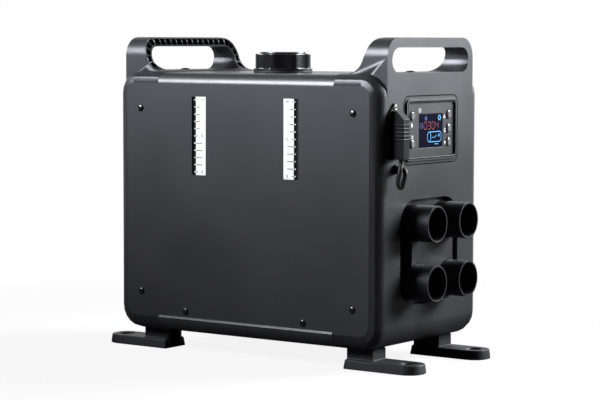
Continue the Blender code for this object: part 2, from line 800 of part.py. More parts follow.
def covers():
    """The front cover with its gauge slots and the rear cover."""
    front = cover_form("front_cover", TOP_JOINT_Y, -BOTTOM_JOINT_Y)
    corner, lower = screw_places()
    drill(front, corner + lower)
    for side in (-1, 1):
        outer = TANK_X + side * (GAUGE_X + (SLOT_WIDTH + SCALE_WIDTH) / 2)
        inner = outer - side * SLOT_WIDTH
        left, right = sorted((outer, inner))
        cut(front, box((left, -HALF_D - SHEET, GAUGE_LOW), (right, -HALF_D + 2 * SHEET, GAUGE_HIGH)))
        far = inner - side * (SCALE_WIDTH - GAP)
        left, right = sorted((inner + side * GAP, far))
        floor = -HALF_D + SCALE_THICK + GAP
        cut(front, box((left, -HALF_D - SHEET, GAUGE_LOW - GAP), (right, floor, GAUGE_HIGH + GAP)))
    hole = circle((TANK_X, FILLER_Y), NECK_RADIUS + 4 * GAP, ROUND)
    cut(front, prism(hole, "Z", COVER_TOP - 2 * SHEET, COVER_TOP + SHEET))
    complete(front, SHEET_METAL)
    rear = cover_form("rear_cover", -TOP_JOINT_Y - GAP, -BOTTOM_JOINT_Y)
    drill(rear, corner)
    complete(rear, SHEET_METAL, turn=(0, 0, 180))


def screws():
    """Domed screws through both covers and on top of both ends."""
    profile = screw_profile(SCREW_HEAD)
    first = make_object("screw_front_top_left", spindle(profile, "Z", (0, 0, 0), TINY_ROUND))
    complete(first, SCREW, (-SCREW_X, -HALF_D, SCREW_TOP_Z), (90, 0, 0))
    names = ("screw_front_top_right", "screw_front_low_left", "screw_front_low_right")
    corner, lower = screw_places()
    for name, (x, z) in zip(names, corner[1:]):
        copy_of(first, name, (x, -HALF_D, z), (90, 0, 0))
    for name, (x, z) in zip(("screw_floor_left", "screw_floor_right"), lower):
        copy_of(first, name, (x, -HALF_D, z), (90, 0, 0))
    names = ("screw_rear_top_left", "screw_rear_top_right", "screw_rear_low_left",
             "screw_rear_low_right")
    for name, (x, z) in zip(names, corner):
        copy_of(first, name, (x, HALF_D, z), (-90, 0, 0))
    top = make_object("screw_top_right", spindle(screw_profile(TOP_SCREW_HEAD), "Z", (0, 0, 0),
                                                 TINY_ROUND))
    complete(top, SCREW, (TOP_SCREW_X, TOP_SCREW_Y, GRIP_LOW))
    copy_of(top, "screw_top_left", (-TOP_SCREW_X, TOP_SCREW_Y, GRIP_LOW))


def screw_profile(head):
    """Half section of a domed screw, its seat at zero."""
    shank = SCREW_SHANK / 2
    return [(SCREW_RISE, head / 4), (SCREW_RISE * 0.6, head * 0.42), (GAP, head / 2), (GAP, shank),
            (-SCREW_LENGTH, shank)]


def gauges():
    """The white scales beside the slots and the sight strips behind them."""
    for name, side in (("left", -1), ("right", 1)):
        outer = TANK_X + side * (GAUGE_X + (SLOT_WIDTH + SCALE_WIDTH) / 2)
        inner = outer - side * SLOT_WIDTH
        far = inner - side * (SCALE_WIDTH - 2 * GAP)
        left, right = sorted((inner, far))
        scale = box((left, -HALF_D, GAUGE_LOW), (right, -HALF_D + SCALE_THICK, GAUGE_HIGH))
        complete(make_object("gauge_scale_" + name, scale), SCALE_WHITE)
        middle = (outer + inner) / 2
        sight = rounded_rect(middle - SLOT_WIDTH, middle + SLOT_WIDTH, GAUGE_LOW - SLOT_WIDTH,
                             GAUGE_HIGH + SLOT_WIDTH, SLOT_WIDTH / 2, 2)
        strip = prism(sight, "Y", -LEDGE_Y, -LEDGE_Y + SIGHT_THICK)
        complete(make_object("sight_strip_" + name, strip), SIGHT)


def fuel_tank():
    """The moulded tank with its filler neck and bottom outlet."""
    depth = TANK_BACK - TANK_FRONT
    middle = (TANK_X, TANK_FRONT + depth / 2)
    tank = make_object("fuel_tank", block(TANK_WIDTH / 2, depth / 2, TANK_BOTTOM, TANK_TOP,
                                          TANK_CORNER, TANK_EDGE, middle, 3, HIDDEN_STEPS))
    add(tank, prism(circle((TANK_X, FILLER_Y), NECK_RADIUS), "Z", TANK_TOP - TANK_WALL, NECK_TOP))
    nipple = circle((NIPPLE_X, NIPPLE_Y), 2 * LINE_RADIUS, 12)
    add(tank, prism(nipple, "Z", TANK_BOTTOM - 4 * TANK_WALL, TANK_BOTTOM + TANK_WALL / 2))
    cut(tank, block(TANK_WIDTH / 2 - TANK_WALL, depth / 2 - TANK_WALL, TANK_BOTTOM + TANK_WALL,
                    TANK_TOP - TANK_WALL, TANK_CORNER - TANK_WALL, TANK_EDGE - TANK_WALL, middle,
                    HIDDEN_STEPS, 1))
    cut(tank, prism(circle((TANK_X, FILLER_Y), NECK_BORE), "Z", TANK_TOP - 2 * TANK_WALL,
                    NECK_TOP + TANK_WALL))
    cut(tank, prism(circle((NIPPLE_X, NIPPLE_Y), LINE_RADIUS, 10), "Z", TANK_BOTTOM - 0.03,
                    TANK_BOTTOM + 2 * TANK_WALL))
    complete(tank, TANK_PLASTIC)


def cap_scoop(index):
    """One finger scoop in the cap: a flat floor that flares out to the ridges."""
    bm = bmesh.new()
    deep = CAP_RIM - SCOOP_FLOOR
    rise = deep * SCOOP_SLOPE
    angle = math.radians(CAP_TURN) + 2 * math.pi * index / CAP_SCOOPS
    ray = Vector((math.cos(angle), math.sin(angle), 0))
    side = Vector((-ray.y, ray.x, 0))
    ends = []
    for reach, wide, low, high in (
            (SCOOP_FLOOR, SCOOP_HALF, SCOOP_LOW, SCOOP_HIGH),
            (CAP_RIM, SCOOP_HALF + deep * SCOOP_FLARE, SCOOP_LOW - rise, SCOOP_HIGH + rise)):
        corners = ((-wide, low), (wide, low), (wide, high), (-wide, high))
        ends.append([bm.verts.new(ray * reach + side * y + Vector((0, 0, z)))
                     for y, z in corners])
    bm.faces.new(ends[0])
    bm.faces.new(list(reversed(ends[1])))
    for corner in range(4):
        after = (corner + 1) % 4
        bm.faces.new((ends[0][corner], ends[1][corner], ends[1][after], ends[0][after]))
    return bm


def fuel_cap():
    """The fluted filler cap and the rubber seal that it lifts with it."""
    seal_low = NECK_BASE
    cap_low = seal_low + SEAL_THICK + GAP
    bore = NECK_RADIUS + 2 * GAP
    ring = [(0.0, bore), (0.0, SEAL_RADIUS), (SEAL_THICK, SEAL_RADIUS), (SEAL_THICK, bore)]
    seal = make_object("cap_seal", turned(ring, "Z", (0, 0, 0)))
    complete(seal, RUBBER, (TANK_X, FILLER_Y, seal_low))
    grip = spindle([(CAP_RIM_HEIGHT / 2, CAP_RADIUS), (CAP_HEIGHT - CAP_CHAMFER, CAP_RADIUS),
                    (CAP_HEIGHT, CAP_RADIUS - CAP_CHAMFER)], "Z", (0, 0, 0))
    cap = make_object("fuel_cap", grip)
    for index in range(CAP_SCOOPS):
        cut(cap, cap_scoop(index))
    add(cap, prism(circle((0, 0), CAP_RIM), "Z", 0, CAP_RIM_HEIGHT))
    crown = [(-CAP_CROWN_RISE, CAP_CROWN), (CAP_CROWN_RISE - CAP_CHAMFER, CAP_CROWN),
             (CAP_CROWN_RISE, CAP_CROWN - CAP_CHAMFER)]
    add(cap, spindle(crown, "Z", (0, 0, CAP_HEIGHT)))
    cut(cap, prism(circle((0, 0), bore), "Z", -CAP_RIM_HEIGHT, CAP_SKIRT))
    complete(cap, GLOSS, (TANK_X, FILLER_Y, cap_low))


def controller():
    """The controller on the right-hand end, with its fascia, display, board and keys."""
    front = HALF_W + FRAME_PROUD
    back = front - FRAME_DEPTH

    def outline(spare, corner, steps=4):
        return rounded_rect(-FRAME_HALF_Y - spare, FRAME_HALF_Y + spare,
                            PANEL_Z - FRAME_HALF_Z - spare, PANEL_Z + FRAME_HALF_Z + spare,
                            corner, steps)

    frame = make_object("controller_frame", prism(outline(0, FRAME_CORNER), "X", back, front))
    flange = outline(FRAME_FLANGE, FRAME_CORNER + FRAME_FLANGE)
    add(frame, prism(flange, "X", SIDE_INNER - GAP - SHELL_WALL / 2, SIDE_INNER - GAP))
    seat = front - FASCIA_DROP - FASCIA - GAP
    cut(frame, prism(outline(-FRAME_BAND, 0.004), "X", seat, front + SHELL_WALL))
    cut(frame, prism(outline(-2 * FRAME_BAND, 0.003), "X", back - SHELL_WALL, front))
    complete(frame, PLASTIC)
    fascia_back = seat + GAP
    fascia = make_object("controller_fascia", prism(outline(-FRAME_BAND - GAP, 0.0037), "X",
                                                    fascia_back, fascia_back + FASCIA))
    window = rounded_rect(-DISPLAY_HALF_Y - GAP, DISPLAY_HALF_Y + GAP,
                          DISPLAY_Z - DISPLAY_HALF_Z - GAP, DISPLAY_Z + DISPLAY_HALF_Z + GAP,
                          0.0015, 2)
    cut(fascia, prism(window, "X", back, front + SHELL_WALL))
    places = button_places()
    bm = bmesh.new()
    for name, y, z in places:
        prism(oval(y, z, GAP), "X", back, front + SHELL_WALL, bm)
    cut(fascia, bm)
    complete(fascia, PLASTIC)
    board_front = back - GAP
    board = outline(-FRAME_BAND, 0.003, 2)
    complete(make_object("controller_board", prism(board, "X", board_front - BOARD_THICK,
                                                   board_front)), BOARD)
    display = rounded_rect(-DISPLAY_HALF_Y, DISPLAY_HALF_Y, DISPLAY_Z - DISPLAY_HALF_Z,
                           DISPLAY_Z + DISPLAY_HALF_Z, 0.0012, 2)
    complete(make_object("display", prism(display, "X", board_front + GAP,
                                          fascia_back + FASCIA - GAP)), GLASS)
    key = key_form(fascia_back, board_front)
    for index, (name, y, z) in enumerate(places):
        if index == 0:
            key.name = name
            complete(key, KEY, (fascia_back, y, z))
        else:
            copy_of(key, name, (fascia_back, y, z))


def button_places():
    """Names and centres of the five keys."""
    return (("button_power", -BUTTON_Y, BUTTON_TOP_Z), ("button_mode", -BUTTON_Y, BUTTON_LOW_Z),
            ("button_up", BUTTON_Y, BUTTON_TOP_Z), ("button_set", BUTTON_Y, BUTTON_MID_Z),
            ("button_down", BUTTON_Y, BUTTON_LOW_Z))


def oval(y, z, spare):
    """Outline of a key or of its hole."""
    points = []
    for step in range(12):
        angle = 2 * math.pi * step / 12
        points.append((y + (BUTTON_WIDE / 2 + spare) * math.cos(angle),
                       z + (BUTTON_TALL / 2 + spare) * math.sin(angle)))
    return points


def key_form(fascia_back, board_front):
    """A domed key with a flange behind the fascia and a stem to its switch."""
    bm = bmesh.new()
    rise = FASCIA + KEY_RISE
    rings = ((-GAP - KEY_LIP / 2, 1.0), (rise * 0.7, 1.0), (rise, 0.7))
    loops = []
    for place, share in rings:
        loops.append([bm.verts.new((place, y * share, z * share)) for y, z in oval(0, 0, 0)])
    count = len(loops[0])
    for near, far in zip(loops, loops[1:]):
        for index in range(count):
            after = (index + 1) % count
            bm.faces.new((near[index], far[index], far[after], near[after]))
    bm.faces.new(loops[0])
    bm.faces.new(list(reversed(loops[-1])))
    key = make_object("key", bm)
    add(key, prism(oval(0, 0, KEY_LIP * 1.5), "X", -GAP - KEY_LIP, -GAP))
    stem = board_front - fascia_back + BUTTON_TRAVEL + GAP
    add(key, prism(circle((0, 0), KEY_STEM, TINY_ROUND), "X", stem, -GAP - KEY_LIP / 2))
    return key


def connector():
    """The power socket, its plug, the cable gland and the short cable between them."""
    base = HALF_W + GAP
    half = FLANGE_WIDE / 2
    low = SOCKET_LOW - GAP
    shoulder = FLANGE_APEX - half
    plate = [(SOCKET_Y - half, low), (SOCKET_Y + half, low), (SOCKET_Y + half, shoulder)]
    plate += arc((SOCKET_Y, FLANGE_APEX - FLANGE_TIP), FLANGE_TIP, 45, 135, 4)
    plate += [(SOCKET_Y - half, shoulder)]
    flange = make_object("socket_flange", prism(plate, "X", base, base + FLANGE_THICK))
    inner = SOCKET_Y + SOCKET_WIDE / 2
    outer = SOCKET_Y - SOCKET_WIDE / 2
    add(flange, box((base + FLANGE_THICK / 2, outer, SOCKET_LOW), (base + SOCKET_OUT, inner,
                                                                  SOCKET_TOP)))
    complete(flange, BLACK)
    start = base + SOCKET_OUT + GAP
    end = start + HOOD_OUT
    side = [(start, SOCKET_LOW), (end, SOCKET_LOW), (end, SOCKET_TOP - HOOD_SLOPE),
            (end - HOOD_SLOPE, SOCKET_TOP), (start, SOCKET_TOP)]
    near = outer
    hood = make_object("plug_hood", prism(side, "Y", near, near + HOOD_WIDE))
    for step in range(GRIP_BARS):
        z = SOCKET_LOW + GRIP_BAR_LOW + step * GRIP_BAR_PITCH
        add(hood, box((start + GRIP_BAR, near - GRIP_BAR / 2, z - GRIP_BAR / 2),
                      (end + GRIP_BAR / 2, near + HOOD_WIDE + GRIP_BAR / 2, z + GRIP_BAR / 2)))
    complete(hood, BLACK)
    bore = CABLE_RADIUS + GAP
    nut = GLAND_REACH / 2
    gland = [(-2 * GLAND_SHANK, bore), (-2 * GLAND_SHANK, GLAND_SHANK), (GAP, GLAND_SHANK),
             (GAP, GLAND_NUT), (nut, GLAND_NUT), (nut + GAP, GLAND_NUT * 0.85),
             (GLAND_REACH, GLAND_NUT * 0.75), (GLAND_REACH, bore)]
    made = make_object("cable_gland", turned(gland, "X", (0, 0, 0), 12))
    complete(made, BLACK, (HALF_W, GLAND_Y, GLAND_Z))
    x = start + HOOD_OUT * 0.44
    y = near + HOOD_WIDE / 2
    r = CABLE_RADIUS
    route = [(x, y, SOCKET_LOW - GAP), (x, y, SOCKET_LOW - 2 * r), (x + 0.2 * r, y - r, GLAND_Z),
             (x - 0.4 * r, y - 1.3 * r, GLAND_Z - 3.2 * r),
             (x - 0.6 * r, y - 1.3 * r, LOOP_LOW + 2.2 * r),
             (x - 0.4 * r, y - r, LOOP_LOW + 0.7 * r), (x + 0.1 * r, y - 0.35 * r, LOOP_LOW),
             (x + 0.6 * r, y + 0.3 * r, LOOP_LOW + 0.7 * r),
             (x + 0.9 * r, y + 0.6 * r, LOOP_LOW + 2.2 * r),
             (x + 1.3 * r, GLAND_Y - 0.4 * r, GLAND_Z - 3.2 * r),
             (x + 1.25 * r, GLAND_Y - 0.15 * r, GLAND_Z - 1.2 * r),
             (x + 0.6 * r, GLAND_Y, GLAND_Z - 0.15 * r),
             (HALF_W + GLAND_REACH + r / 2, GLAND_Y, GLAND_Z), (HALF_W + r, GLAND_Y, GLAND_Z)]
    tube("cable_loop", route, CABLE_RADIUS, CABLE_RADIUS, CABLE)


def square(half, corner, steps=EDGE_STEPS):
    """Outline of a rounded square round the heater's axis."""
    return rounded_rect(AXIS_Y - half, AXIS_Y + half, AXIS_Z - half, AXIS_Z + half, corner, steps)


def pocket_outline(spare, steps):
    """Outline of the pocket round the outlets, grown by a spare width."""
    half_y = POCKET_HALF_Y + spare
    half_z = POCKET_HALF_Z + spare
    return rounded_rect(AXIS_Y - half_y, AXIS_Y + half_y, AXIS_Z - half_z, AXIS_Z + half_z,
                        POCKET_CORNER + spare, steps)


def outlets():
    """The manifold with its four outlet tubes and the trim between the tubes."""
    sleeve = DUCT_HALF + GAP + DUCT_WALL
    start = DUCT_END - SLEEVE_OVERLAP
    corner = DUCT_CORNER + GAP + DUCT_WALL
    plate_back = PORT_PLATE_X - DUCT_WALL
    manifold = make_object("outlet_manifold", prism(square(sleeve, corner), "X", start,
                                                    PORT_PLATE_X))
    rim = pocket_outline(3 * PORT_WALL, HIDDEN_STEPS)
    add(manifold, prism(rim, "X", plate_back, SIDE_INNER - GAP))
    well = pocket_outline(PORT_WALL, 5)
    cut(manifold, prism(well, "X", PORT_PLATE_X, BODY_WIDTH))
    half = PORT_PITCH / 2
    ports = [(AXIS_Y + y * half, AXIS_Z + z * half) for y in (-1, 1) for z in (-1, 1)]
    bm = bmesh.new()
    for port in ports:
        prism(circle(port, PORT_RADIUS), "X", plate_back, PORT_REACH, bm)
    add(manifold, bm)
    cut(manifold, prism(square(DUCT_HALF + GAP, DUCT_CORNER + GAP), "X", start - DUCT_WALL,
                        DUCT_END + GAP))
    cut(manifold, prism(square(DUCT_HALF - DUCT_WALL, DUCT_CORNER - DUCT_WALL), "X", DUCT_END,
                        plate_back))
    bm = bmesh.new()
    for port in ports:
        prism(circle(port, PORT_RADIUS - PORT_WALL), "X", plate_back - DUCT_WALL,
              PORT_REACH + DUCT_WALL, bm)
    cut(manifold, bm)
    complete(manifold, BLACK)
    trim_back = PORT_PLATE_X + GAP
    pad = make_object("outlet_trim", prism(square(TRIM_HALF, 0.004, 2), "X", trim_back,
                                           HALF_W + TRIM_PROUD))
    bm = bmesh.new()
    for port in ports:
        prism(circle(port, PORT_RADIUS + GAP), "X", PORT_PLATE_X, BODY_WIDTH, bm)
    cut(pad, bm)
    complete(pad, PLASTIC)


def heater_case():
    """The air duct round the heater, from the intake to the manifold, on two saddles."""
    start = -SIDE_INNER + GAP
    case = make_object("heater_case", prism(square(DUCT_HALF, DUCT_CORNER), "X", start, DUCT_END))
    for x in (SADDLE_LEFT, SADDLE_RIGHT):
        add(case, box((x - SADDLE_WIDE / 2, AXIS_Y - SADDLE_WIDE, FLOOR_TOP + GAP),
                      (x + SADDLE_WIDE / 2, AXIS_Y + SADDLE_WIDE, AXIS_Z - DUCT_HALF + DUCT_WALL)))
    bore = square(DUCT_HALF - DUCT_WALL, DUCT_CORNER - DUCT_WALL)
    cut(case, prism(bore, "X", start - DUCT_WALL, DUCT_END + DUCT_WALL))
    for x, radius in ((EXHAUST_X, EXHAUST_RADIUS), (AIR_X, AIR_RADIUS)):
        cut(case, prism(circle((x, AXIS_Y), radius + GAP, 20), "Z", 0, AXIS_Z - DUCT_HALF / 2))
    hole = circle((AIR_X, AXIS_Z), LINE_RADIUS + GAP, 10)
    cut(case, prism(hole, "Y", AXIS_Y - 2 * DUCT_HALF, AXIS_Y - DUCT_HALF / 2))
    complete(case, BLACK)


def heat_exchanger():
    """The finned casting that carries the flame's heat into the air."""
    outline = []
    reach = DUCT_HALF - DUCT_WALL - GAP
    for fin in range(FIN_COUNT):
        angle = 2 * math.pi * fin / FIN_COUNT
        tip = reach if fin % 4 == 0 else EXCHANGER_FIN
        ray = Vector((math.cos(angle), math.sin(angle)))
        side = Vector((-ray.y, ray.x)) * FIN_THICK / 2
        root = math.sqrt(EXCHANGER_CORE ** 2 - (FIN_THICK / 2) ** 2)
        for spot in (ray * root - side, ray * tip - side, ray * tip + side, ray * root + side):
            outline.append((AXIS_Y + spot.x, AXIS_Z + spot.y))
    casting = make_object("heat_exchanger", prism(outline, "X", EXCHANGER_START, EXCHANGER_END))
    cut(casting, prism(circle((EXHAUST_X, AXIS_Y), EXHAUST_RADIUS + GAP, 20), "Z", 0,
                       AXIS_Z - EXCHANGER_CORE))
    complete(casting, CAST)


def burner():
    """The burner on the exchanger's end with its glow plug."""
    end = EXCHANGER_START - GAP
    start = end - BURNER_LENGTH
    rim = BURNER_RADIUS + BURNER_FLANGE
    profile = [(start, BURNER_RADIUS * 0.9), (start + SHELL_WALL, BURNER_RADIUS),
               (end - SHELL_WALL, BURNER_RADIUS), (end - SHELL_WALL, rim), (end, rim)]
    complete(make_object("burner", spindle(profile, "X", (0, AXIS_Y, AXIS_Z))), CAST)
    low = BURNER_RADIUS + GAP
    nut = PLUG_LENGTH * 0.3
    barrel = PLUG_LENGTH * 0.8
    plug = [(low, PLUG_RADIUS * 1.5), (low + nut, PLUG_RADIUS * 1.5), (low + nut, PLUG_RADIUS),
            (low + barrel, PLUG_RADIUS), (low + barrel, PLUG_RADIUS / 2),
            (low + PLUG_LENGTH, PLUG_RADIUS / 2)]
    made = make_object("glow_plug", spindle(plug, "Z", (0, 0, 0), TINY_ROUND))
    complete(made, STEEL, (AIR_X, AXIS_Y, AXIS_Z), (-45, 0, 0))


def blower():
    """The motor on its spider, the warm air fan on its shaft and the combustion wheel."""
    centre = (0, AXIS_Y, AXIS_Z)
    bevel = MOTOR_RADIUS * 0.2
    profile = [(MOTOR_START, MOTOR_RADIUS - bevel), (MOTOR_START + bevel, MOTOR_RADIUS),
               (MOTOR_END - bevel, MOTOR_RADIUS), (MOTOR_END, MOTOR_RADIUS - bevel)]
    motor = make_object("blower_motor", spindle(profile, "X", centre, 12))
    reach = DUCT_HALF - DUCT_WALL - GAP
    arm = SPIDER_ARM / 2
    spider = (MOTOR_START + MOTOR_END) / 2
    add(motor, box((spider - arm, AXIS_Y - reach, AXIS_Z - arm), (spider + arm, AXIS_Y + reach,
                                                                  AXIS_Z + arm)))
    add(motor, box((spider - arm, AXIS_Y - arm, AXIS_Z - reach), (spider + arm, AXIS_Y + arm,
                                                                  AXIS_Z + reach)))
    cut(motor, prism(circle((AXIS_Y, AXIS_Z), SHAFT_RADIUS + GAP, 12), "X", FAN_START, AIR_X))
    complete(motor, STEEL)
    shaft_end = EXCHANGER_START - GAP - BURNER_LENGTH - WHEEL_CLEAR - FAN_START
    hub = [(0.0, FAN_HUB * 0.7), (FAN_HUB * 0.3, FAN_HUB), (FAN_WIDE, FAN_HUB),
           (FAN_WIDE, SHAFT_RADIUS), (shaft_end, SHAFT_RADIUS)]
    rotor = make_object("blower_fan", spindle(hub, "X", (0, 0, 0), 12))
    for blade in range(FAN_BLADES):
        bm = box((-FAN_WIDE * 0.55, -BLADE_THICK / 2, FAN_HUB * 0.8),
                 (FAN_WIDE * 0.55, BLADE_THICK / 2, FAN_RADIUS))
        tilt = Matrix.Rotation(math.radians(FAN_PITCH), 3, "Z")
        place = Matrix.Rotation(2 * math.pi * blade / FAN_BLADES, 3, "X")
        bmesh.ops.transform(bm, matrix=(place @ tilt).to_4x4(), verts=bm.verts)
        bmesh.ops.translate(bm, vec=(FAN_WIDE * 0.55, 0, 0), verts=bm.verts)
        add(rotor, bm)
    complete(rotor, BLACK, (FAN_START, AXIS_Y, AXIS_Z))
    bore = SHAFT_RADIUS + GAP
    boss = 2 * SHAFT_RADIUS
    disc = [(0.0, bore), (0.0, WHEEL_RADIUS), (BLADE_THICK, WHEEL_RADIUS), (BLADE_THICK, boss),
            (WHEEL_WIDE, boss), (WHEEL_WIDE, bore)]
    wheel = make_object("combustion_wheel", turned(disc, "X", (0, 0, 0), 12))
    for vane in range(WHEEL_VANES):
        bm = box((BLADE_THICK / 2, -BLADE_THICK / 3, boss * 0.9),
                 (WHEEL_WIDE, BLADE_THICK / 3, WHEEL_RADIUS * 0.95))
        bmesh.ops.rotate(bm, cent=(0, 0, 0), verts=bm.verts,
                         matrix=Matrix.Rotation(2 * math.pi * (vane + 0.5) / WHEEL_VANES, 3, "X"))
        add(wheel, bm)
    complete(wheel, CAST, (MOTOR_END + WHEEL_CLEAR, AXIS_Y, AXIS_Z))


def pipes():
    """The exhaust and combustion air stubs under the heater."""
    tops = (("exhaust_pipe", EXHAUST_X, EXHAUST_RADIUS, AXIS_Z - EXCHANGER_CORE - GAP, STEEL),
            ("combustion_air_pipe", AIR_X, AIR_RADIUS, AXIS_Z - BURNER_RADIUS - GAP, BLACK))
    for name, x, radius, top, material in tops:
        wall = radius - PIPE_WALL
        profile = [(PIPE_END_Z, wall), (PIPE_END_Z, radius), (top, radius), (top, wall)]
        complete(make_object(name, turned(profile, "Z", (0, 0, 0), 20)), material, (x, AXIS_Y, 0))


def floor_and_shelf():
    """The floor plate inside the case with the pump's cradle, and the shelf under the tank."""
    low = FLOOR_TOP - PLATE
    wall = HALF_D - SHEET - 2 * GAP
    run = HALF_D - EDGE_RADIUS + PLATE
    bend = PANEL_LOW + 1.5 * PLATE
    high = FLOOR_SCREW_Z + SCREW_HEAD
    outer = [(-wall, high), (-wall, bend), (-run, low), (run, low), (wall, bend), (wall, high)]
    inner = [(wall - PLATE, high), (wall - PLATE, bend + PLATE / 3), (run - PLATE / 2, FLOOR_TOP),
             (-run + PLATE / 2, FLOOR_TOP), (-wall + PLATE, bend + PLATE / 3), (-wall + PLATE, high)]
    plate = make_object("floor_plate", prism(outer + inner, "X", -PLATE_HALF_X, PLATE_HALF_X))
    reach = HALF_D - EDGE_RADIUS - PLATE
    add(plate, box((-PLATE_REACH_X, -reach, low), (PLATE_REACH_X, reach, FLOOR_TOP)))
    half = PUMP_RADIUS / 2
    add(plate, box((PUMP_X - half, PUMP_Y - PUMP_RADIUS * 0.9, FLOOR_TOP - PLATE / 2),
                   (PUMP_X + half, PUMP_Y + PUMP_RADIUS * 0.9, PUMP_Z - PUMP_RADIUS / 3)))
    cut(plate, prism(circle((PUMP_Y, PUMP_Z), PUMP_RADIUS + 2 * GAP, 12), "X", PUMP_X - 2 * half,
                     PUMP_X + 2 * half))
    for x, radius in ((EXHAUST_X, EXHAUST_RADIUS), (AIR_X, AIR_RADIUS)):
        cut(plate, prism(circle((x, AXIS_Y), radius + GAP, 20), "Z", 0, FLOOR_TOP + PLATE))
    for x in (-FLOOR_SCREW_X, FLOOR_SCREW_X):
        hole = circle((x, FLOOR_SCREW_Z), SCREW_SHANK / 2 + GAP, 10)
        cut(plate, prism(hole, "Y", -BODY_DEPTH, -HALF_D + 2 * SCREW_LENGTH))
    complete(plate, STEEL)
    base = FLOOR_TOP + GAP
    top = TANK_BOTTOM - GAP
    leg = SHELF_HALF_Y
    sheet = SHELF_SHEET
    section = [(-leg, base), (-leg, top), (leg, top), (leg, base), (leg - sheet, base),
               (leg - sheet, top - sheet), (-leg + sheet, top - sheet), (-leg + sheet, base)]
    shelf = make_object("tank_shelf", prism(section, "X", -SHELF_HALF_X, SHELF_HALF_X))
    window = rounded_rect(-SHELF_HALF_X + SHELF_MARGIN, SHELF_HALF_X - SHELF_MARGIN,
                          base + SHELF_MARGIN, top - SHELF_MARGIN, SHELF_MARGIN / 2, 3)
    cut(shelf, prism(window, "Y", -BODY_DEPTH, BODY_DEPTH))
    hole = circle((NIPPLE_X, NIPPLE_Y), 2 * LINE_RADIUS + GAP, 12)
    cut(shelf, prism(hole, "Z", top - 2 * sheet, top + sheet))
    complete(shelf, STEEL)


def pump_and_lines():
    """The metering pump, the two fuel lines and the control unit."""
    half = PUMP_HALF
    bevel = PUMP_RADIUS * 0.3
    profile = [(-half - PUMP_SPOUT, SPOUT_RADIUS), (-half, SPOUT_RADIUS),
               (-half, PUMP_RADIUS - bevel), (-half + bevel, PUMP_RADIUS),
               (half - bevel, PUMP_RADIUS), (half, PUMP_RADIUS - bevel), (half, SPOUT_RADIUS),
               (half + PUMP_SPOUT, SPOUT_RADIUS)]
    pump = make_object("fuel_pump", spindle(profile, "X", (0, 0, 0), 12))
    complete(pump, STEEL, (PUMP_X, PUMP_Y, PUMP_Z))
    right = PUMP_X + half + PUMP_SPOUT
    nipple_end = TANK_BOTTOM - 4 * TANK_WALL
    r = LINE_RADIUS
    run = AXIS_Y - DUCT_HALF - 3.6 * r
    suction = [(NIPPLE_X, NIPPLE_Y, nipple_end - GAP), (NIPPLE_X, NIPPLE_Y, nipple_end - 6 * r),
               (NIPPLE_X + r, run, nipple_end - 20 * r), (NIPPLE_X + 1.6 * r, run, AXIS_Z - 12.8 * r),
               (NIPPLE_X + 2 * r, run + 0.8 * r, AXIS_Z - 22.8 * r),
               (right + 5.2 * r, PUMP_Y - 1.2 * r, PUMP_Z + 3.2 * r),
               (right + 3.6 * r, PUMP_Y, PUMP_Z + 0.4 * r), (right + 1.6 * r, PUMP_Y, PUMP_Z),
               (right + GAP, PUMP_Y, PUMP_Z)]
    tube("suction_line", suction, r, 4.4 * r, RUBBER)
    left = PUMP_X - half - PUMP_SPOUT
    feed = [(left - GAP, PUMP_Y, PUMP_Z), (left - 2 * r, PUMP_Y, PUMP_Z),
            (left - 4.8 * r, PUMP_Y - 1.2 * r, PUMP_Z + 2 * r),
            (AIR_X - 0.8 * r, run, PUMP_Z + 8.8 * r),
            (AIR_X - 0.8 * r, run - 0.4 * r, AXIS_Z - 12.8 * r),
            (AIR_X, run - 0.4 * r, AXIS_Z - 4.8 * r), (AIR_X, run + 1.2 * r, AXIS_Z - 0.8 * r),
            (AIR_X, run + 3.2 * r, AXIS_Z), (AIR_X, AXIS_Y - BURNER_RADIUS - 1.6 * r, AXIS_Z),
            (AIR_X, AXIS_Y - BURNER_RADIUS - GAP, AXIS_Z)]
    tube("feed_line", feed, r, 2.8 * r, RUBBER)
    low = FLOOR_TOP + GAP
    unit = rounded_rect(UNIT_X - UNIT_LONG / 2, UNIT_X + UNIT_LONG / 2, UNIT_Y - UNIT_WIDE / 2,
                        UNIT_Y + UNIT_WIDE / 2, 0.004, 2)
    complete(make_object("control_unit", prism(unit, "Z", low, low + UNIT_TALL)), BLACK)


def quarter_slot(small, large, start):
    """Outline of one slot of the grille, between two rings and two spokes."""
    near = math.degrees(math.asin(GRILLE_BAR / 2 / small))
    far = math.degrees(math.asin(GRILLE_BAR / 2 / large))
    inner = arc((0, 0), small, start + near, start + 90 - near, HIDDEN_STEPS)
    return inner + arc((0, 0), large, start + 90 - far, start + far, HIDDEN_STEPS)


def intake_grille():
    """The round guard over the cold air intake on the left-hand end."""
    centre = (AXIS_Y, AXIS_Z)
    inner = -SIDE_INNER + GAP
    face = -HALF_W
    reach = INTAKE_RADIUS - GAP
    lip = DUCT_HALF - DUCT_WALL - GAP
    guard = make_object("intake_grille", prism(circle(centre, reach), "X", face,
                                               inner + GRILLE_RIM / 2))
    add(guard, prism(circle(centre, lip), "X", inner, inner + GRILLE_RIM))
    back = circle(centre, reach - GRILLE_RIM)
    cut(guard, prism(back, "X", face + SHELL_WALL, inner + 2 * GRILLE_RIM))
    pitch = (reach - GRILLE_RIM - GRILLE_HUB) / GRILLE_RINGS
    slots = bmesh.new()
    for ring in range(GRILLE_RINGS):
        small = GRILLE_HUB + ring * pitch
        for quarter in range(4):
            slot = quarter_slot(small, small + pitch - GRILLE_BAR, quarter * 90)
            prism([(AXIS_Y + y, AXIS_Z + z) for y, z in slot], "X", face - SHELL_WALL,
                  -SIDE_INNER + 2 * SHELL_WALL, slots)
    cut(guard, slots)
    complete(guard, BLACK)


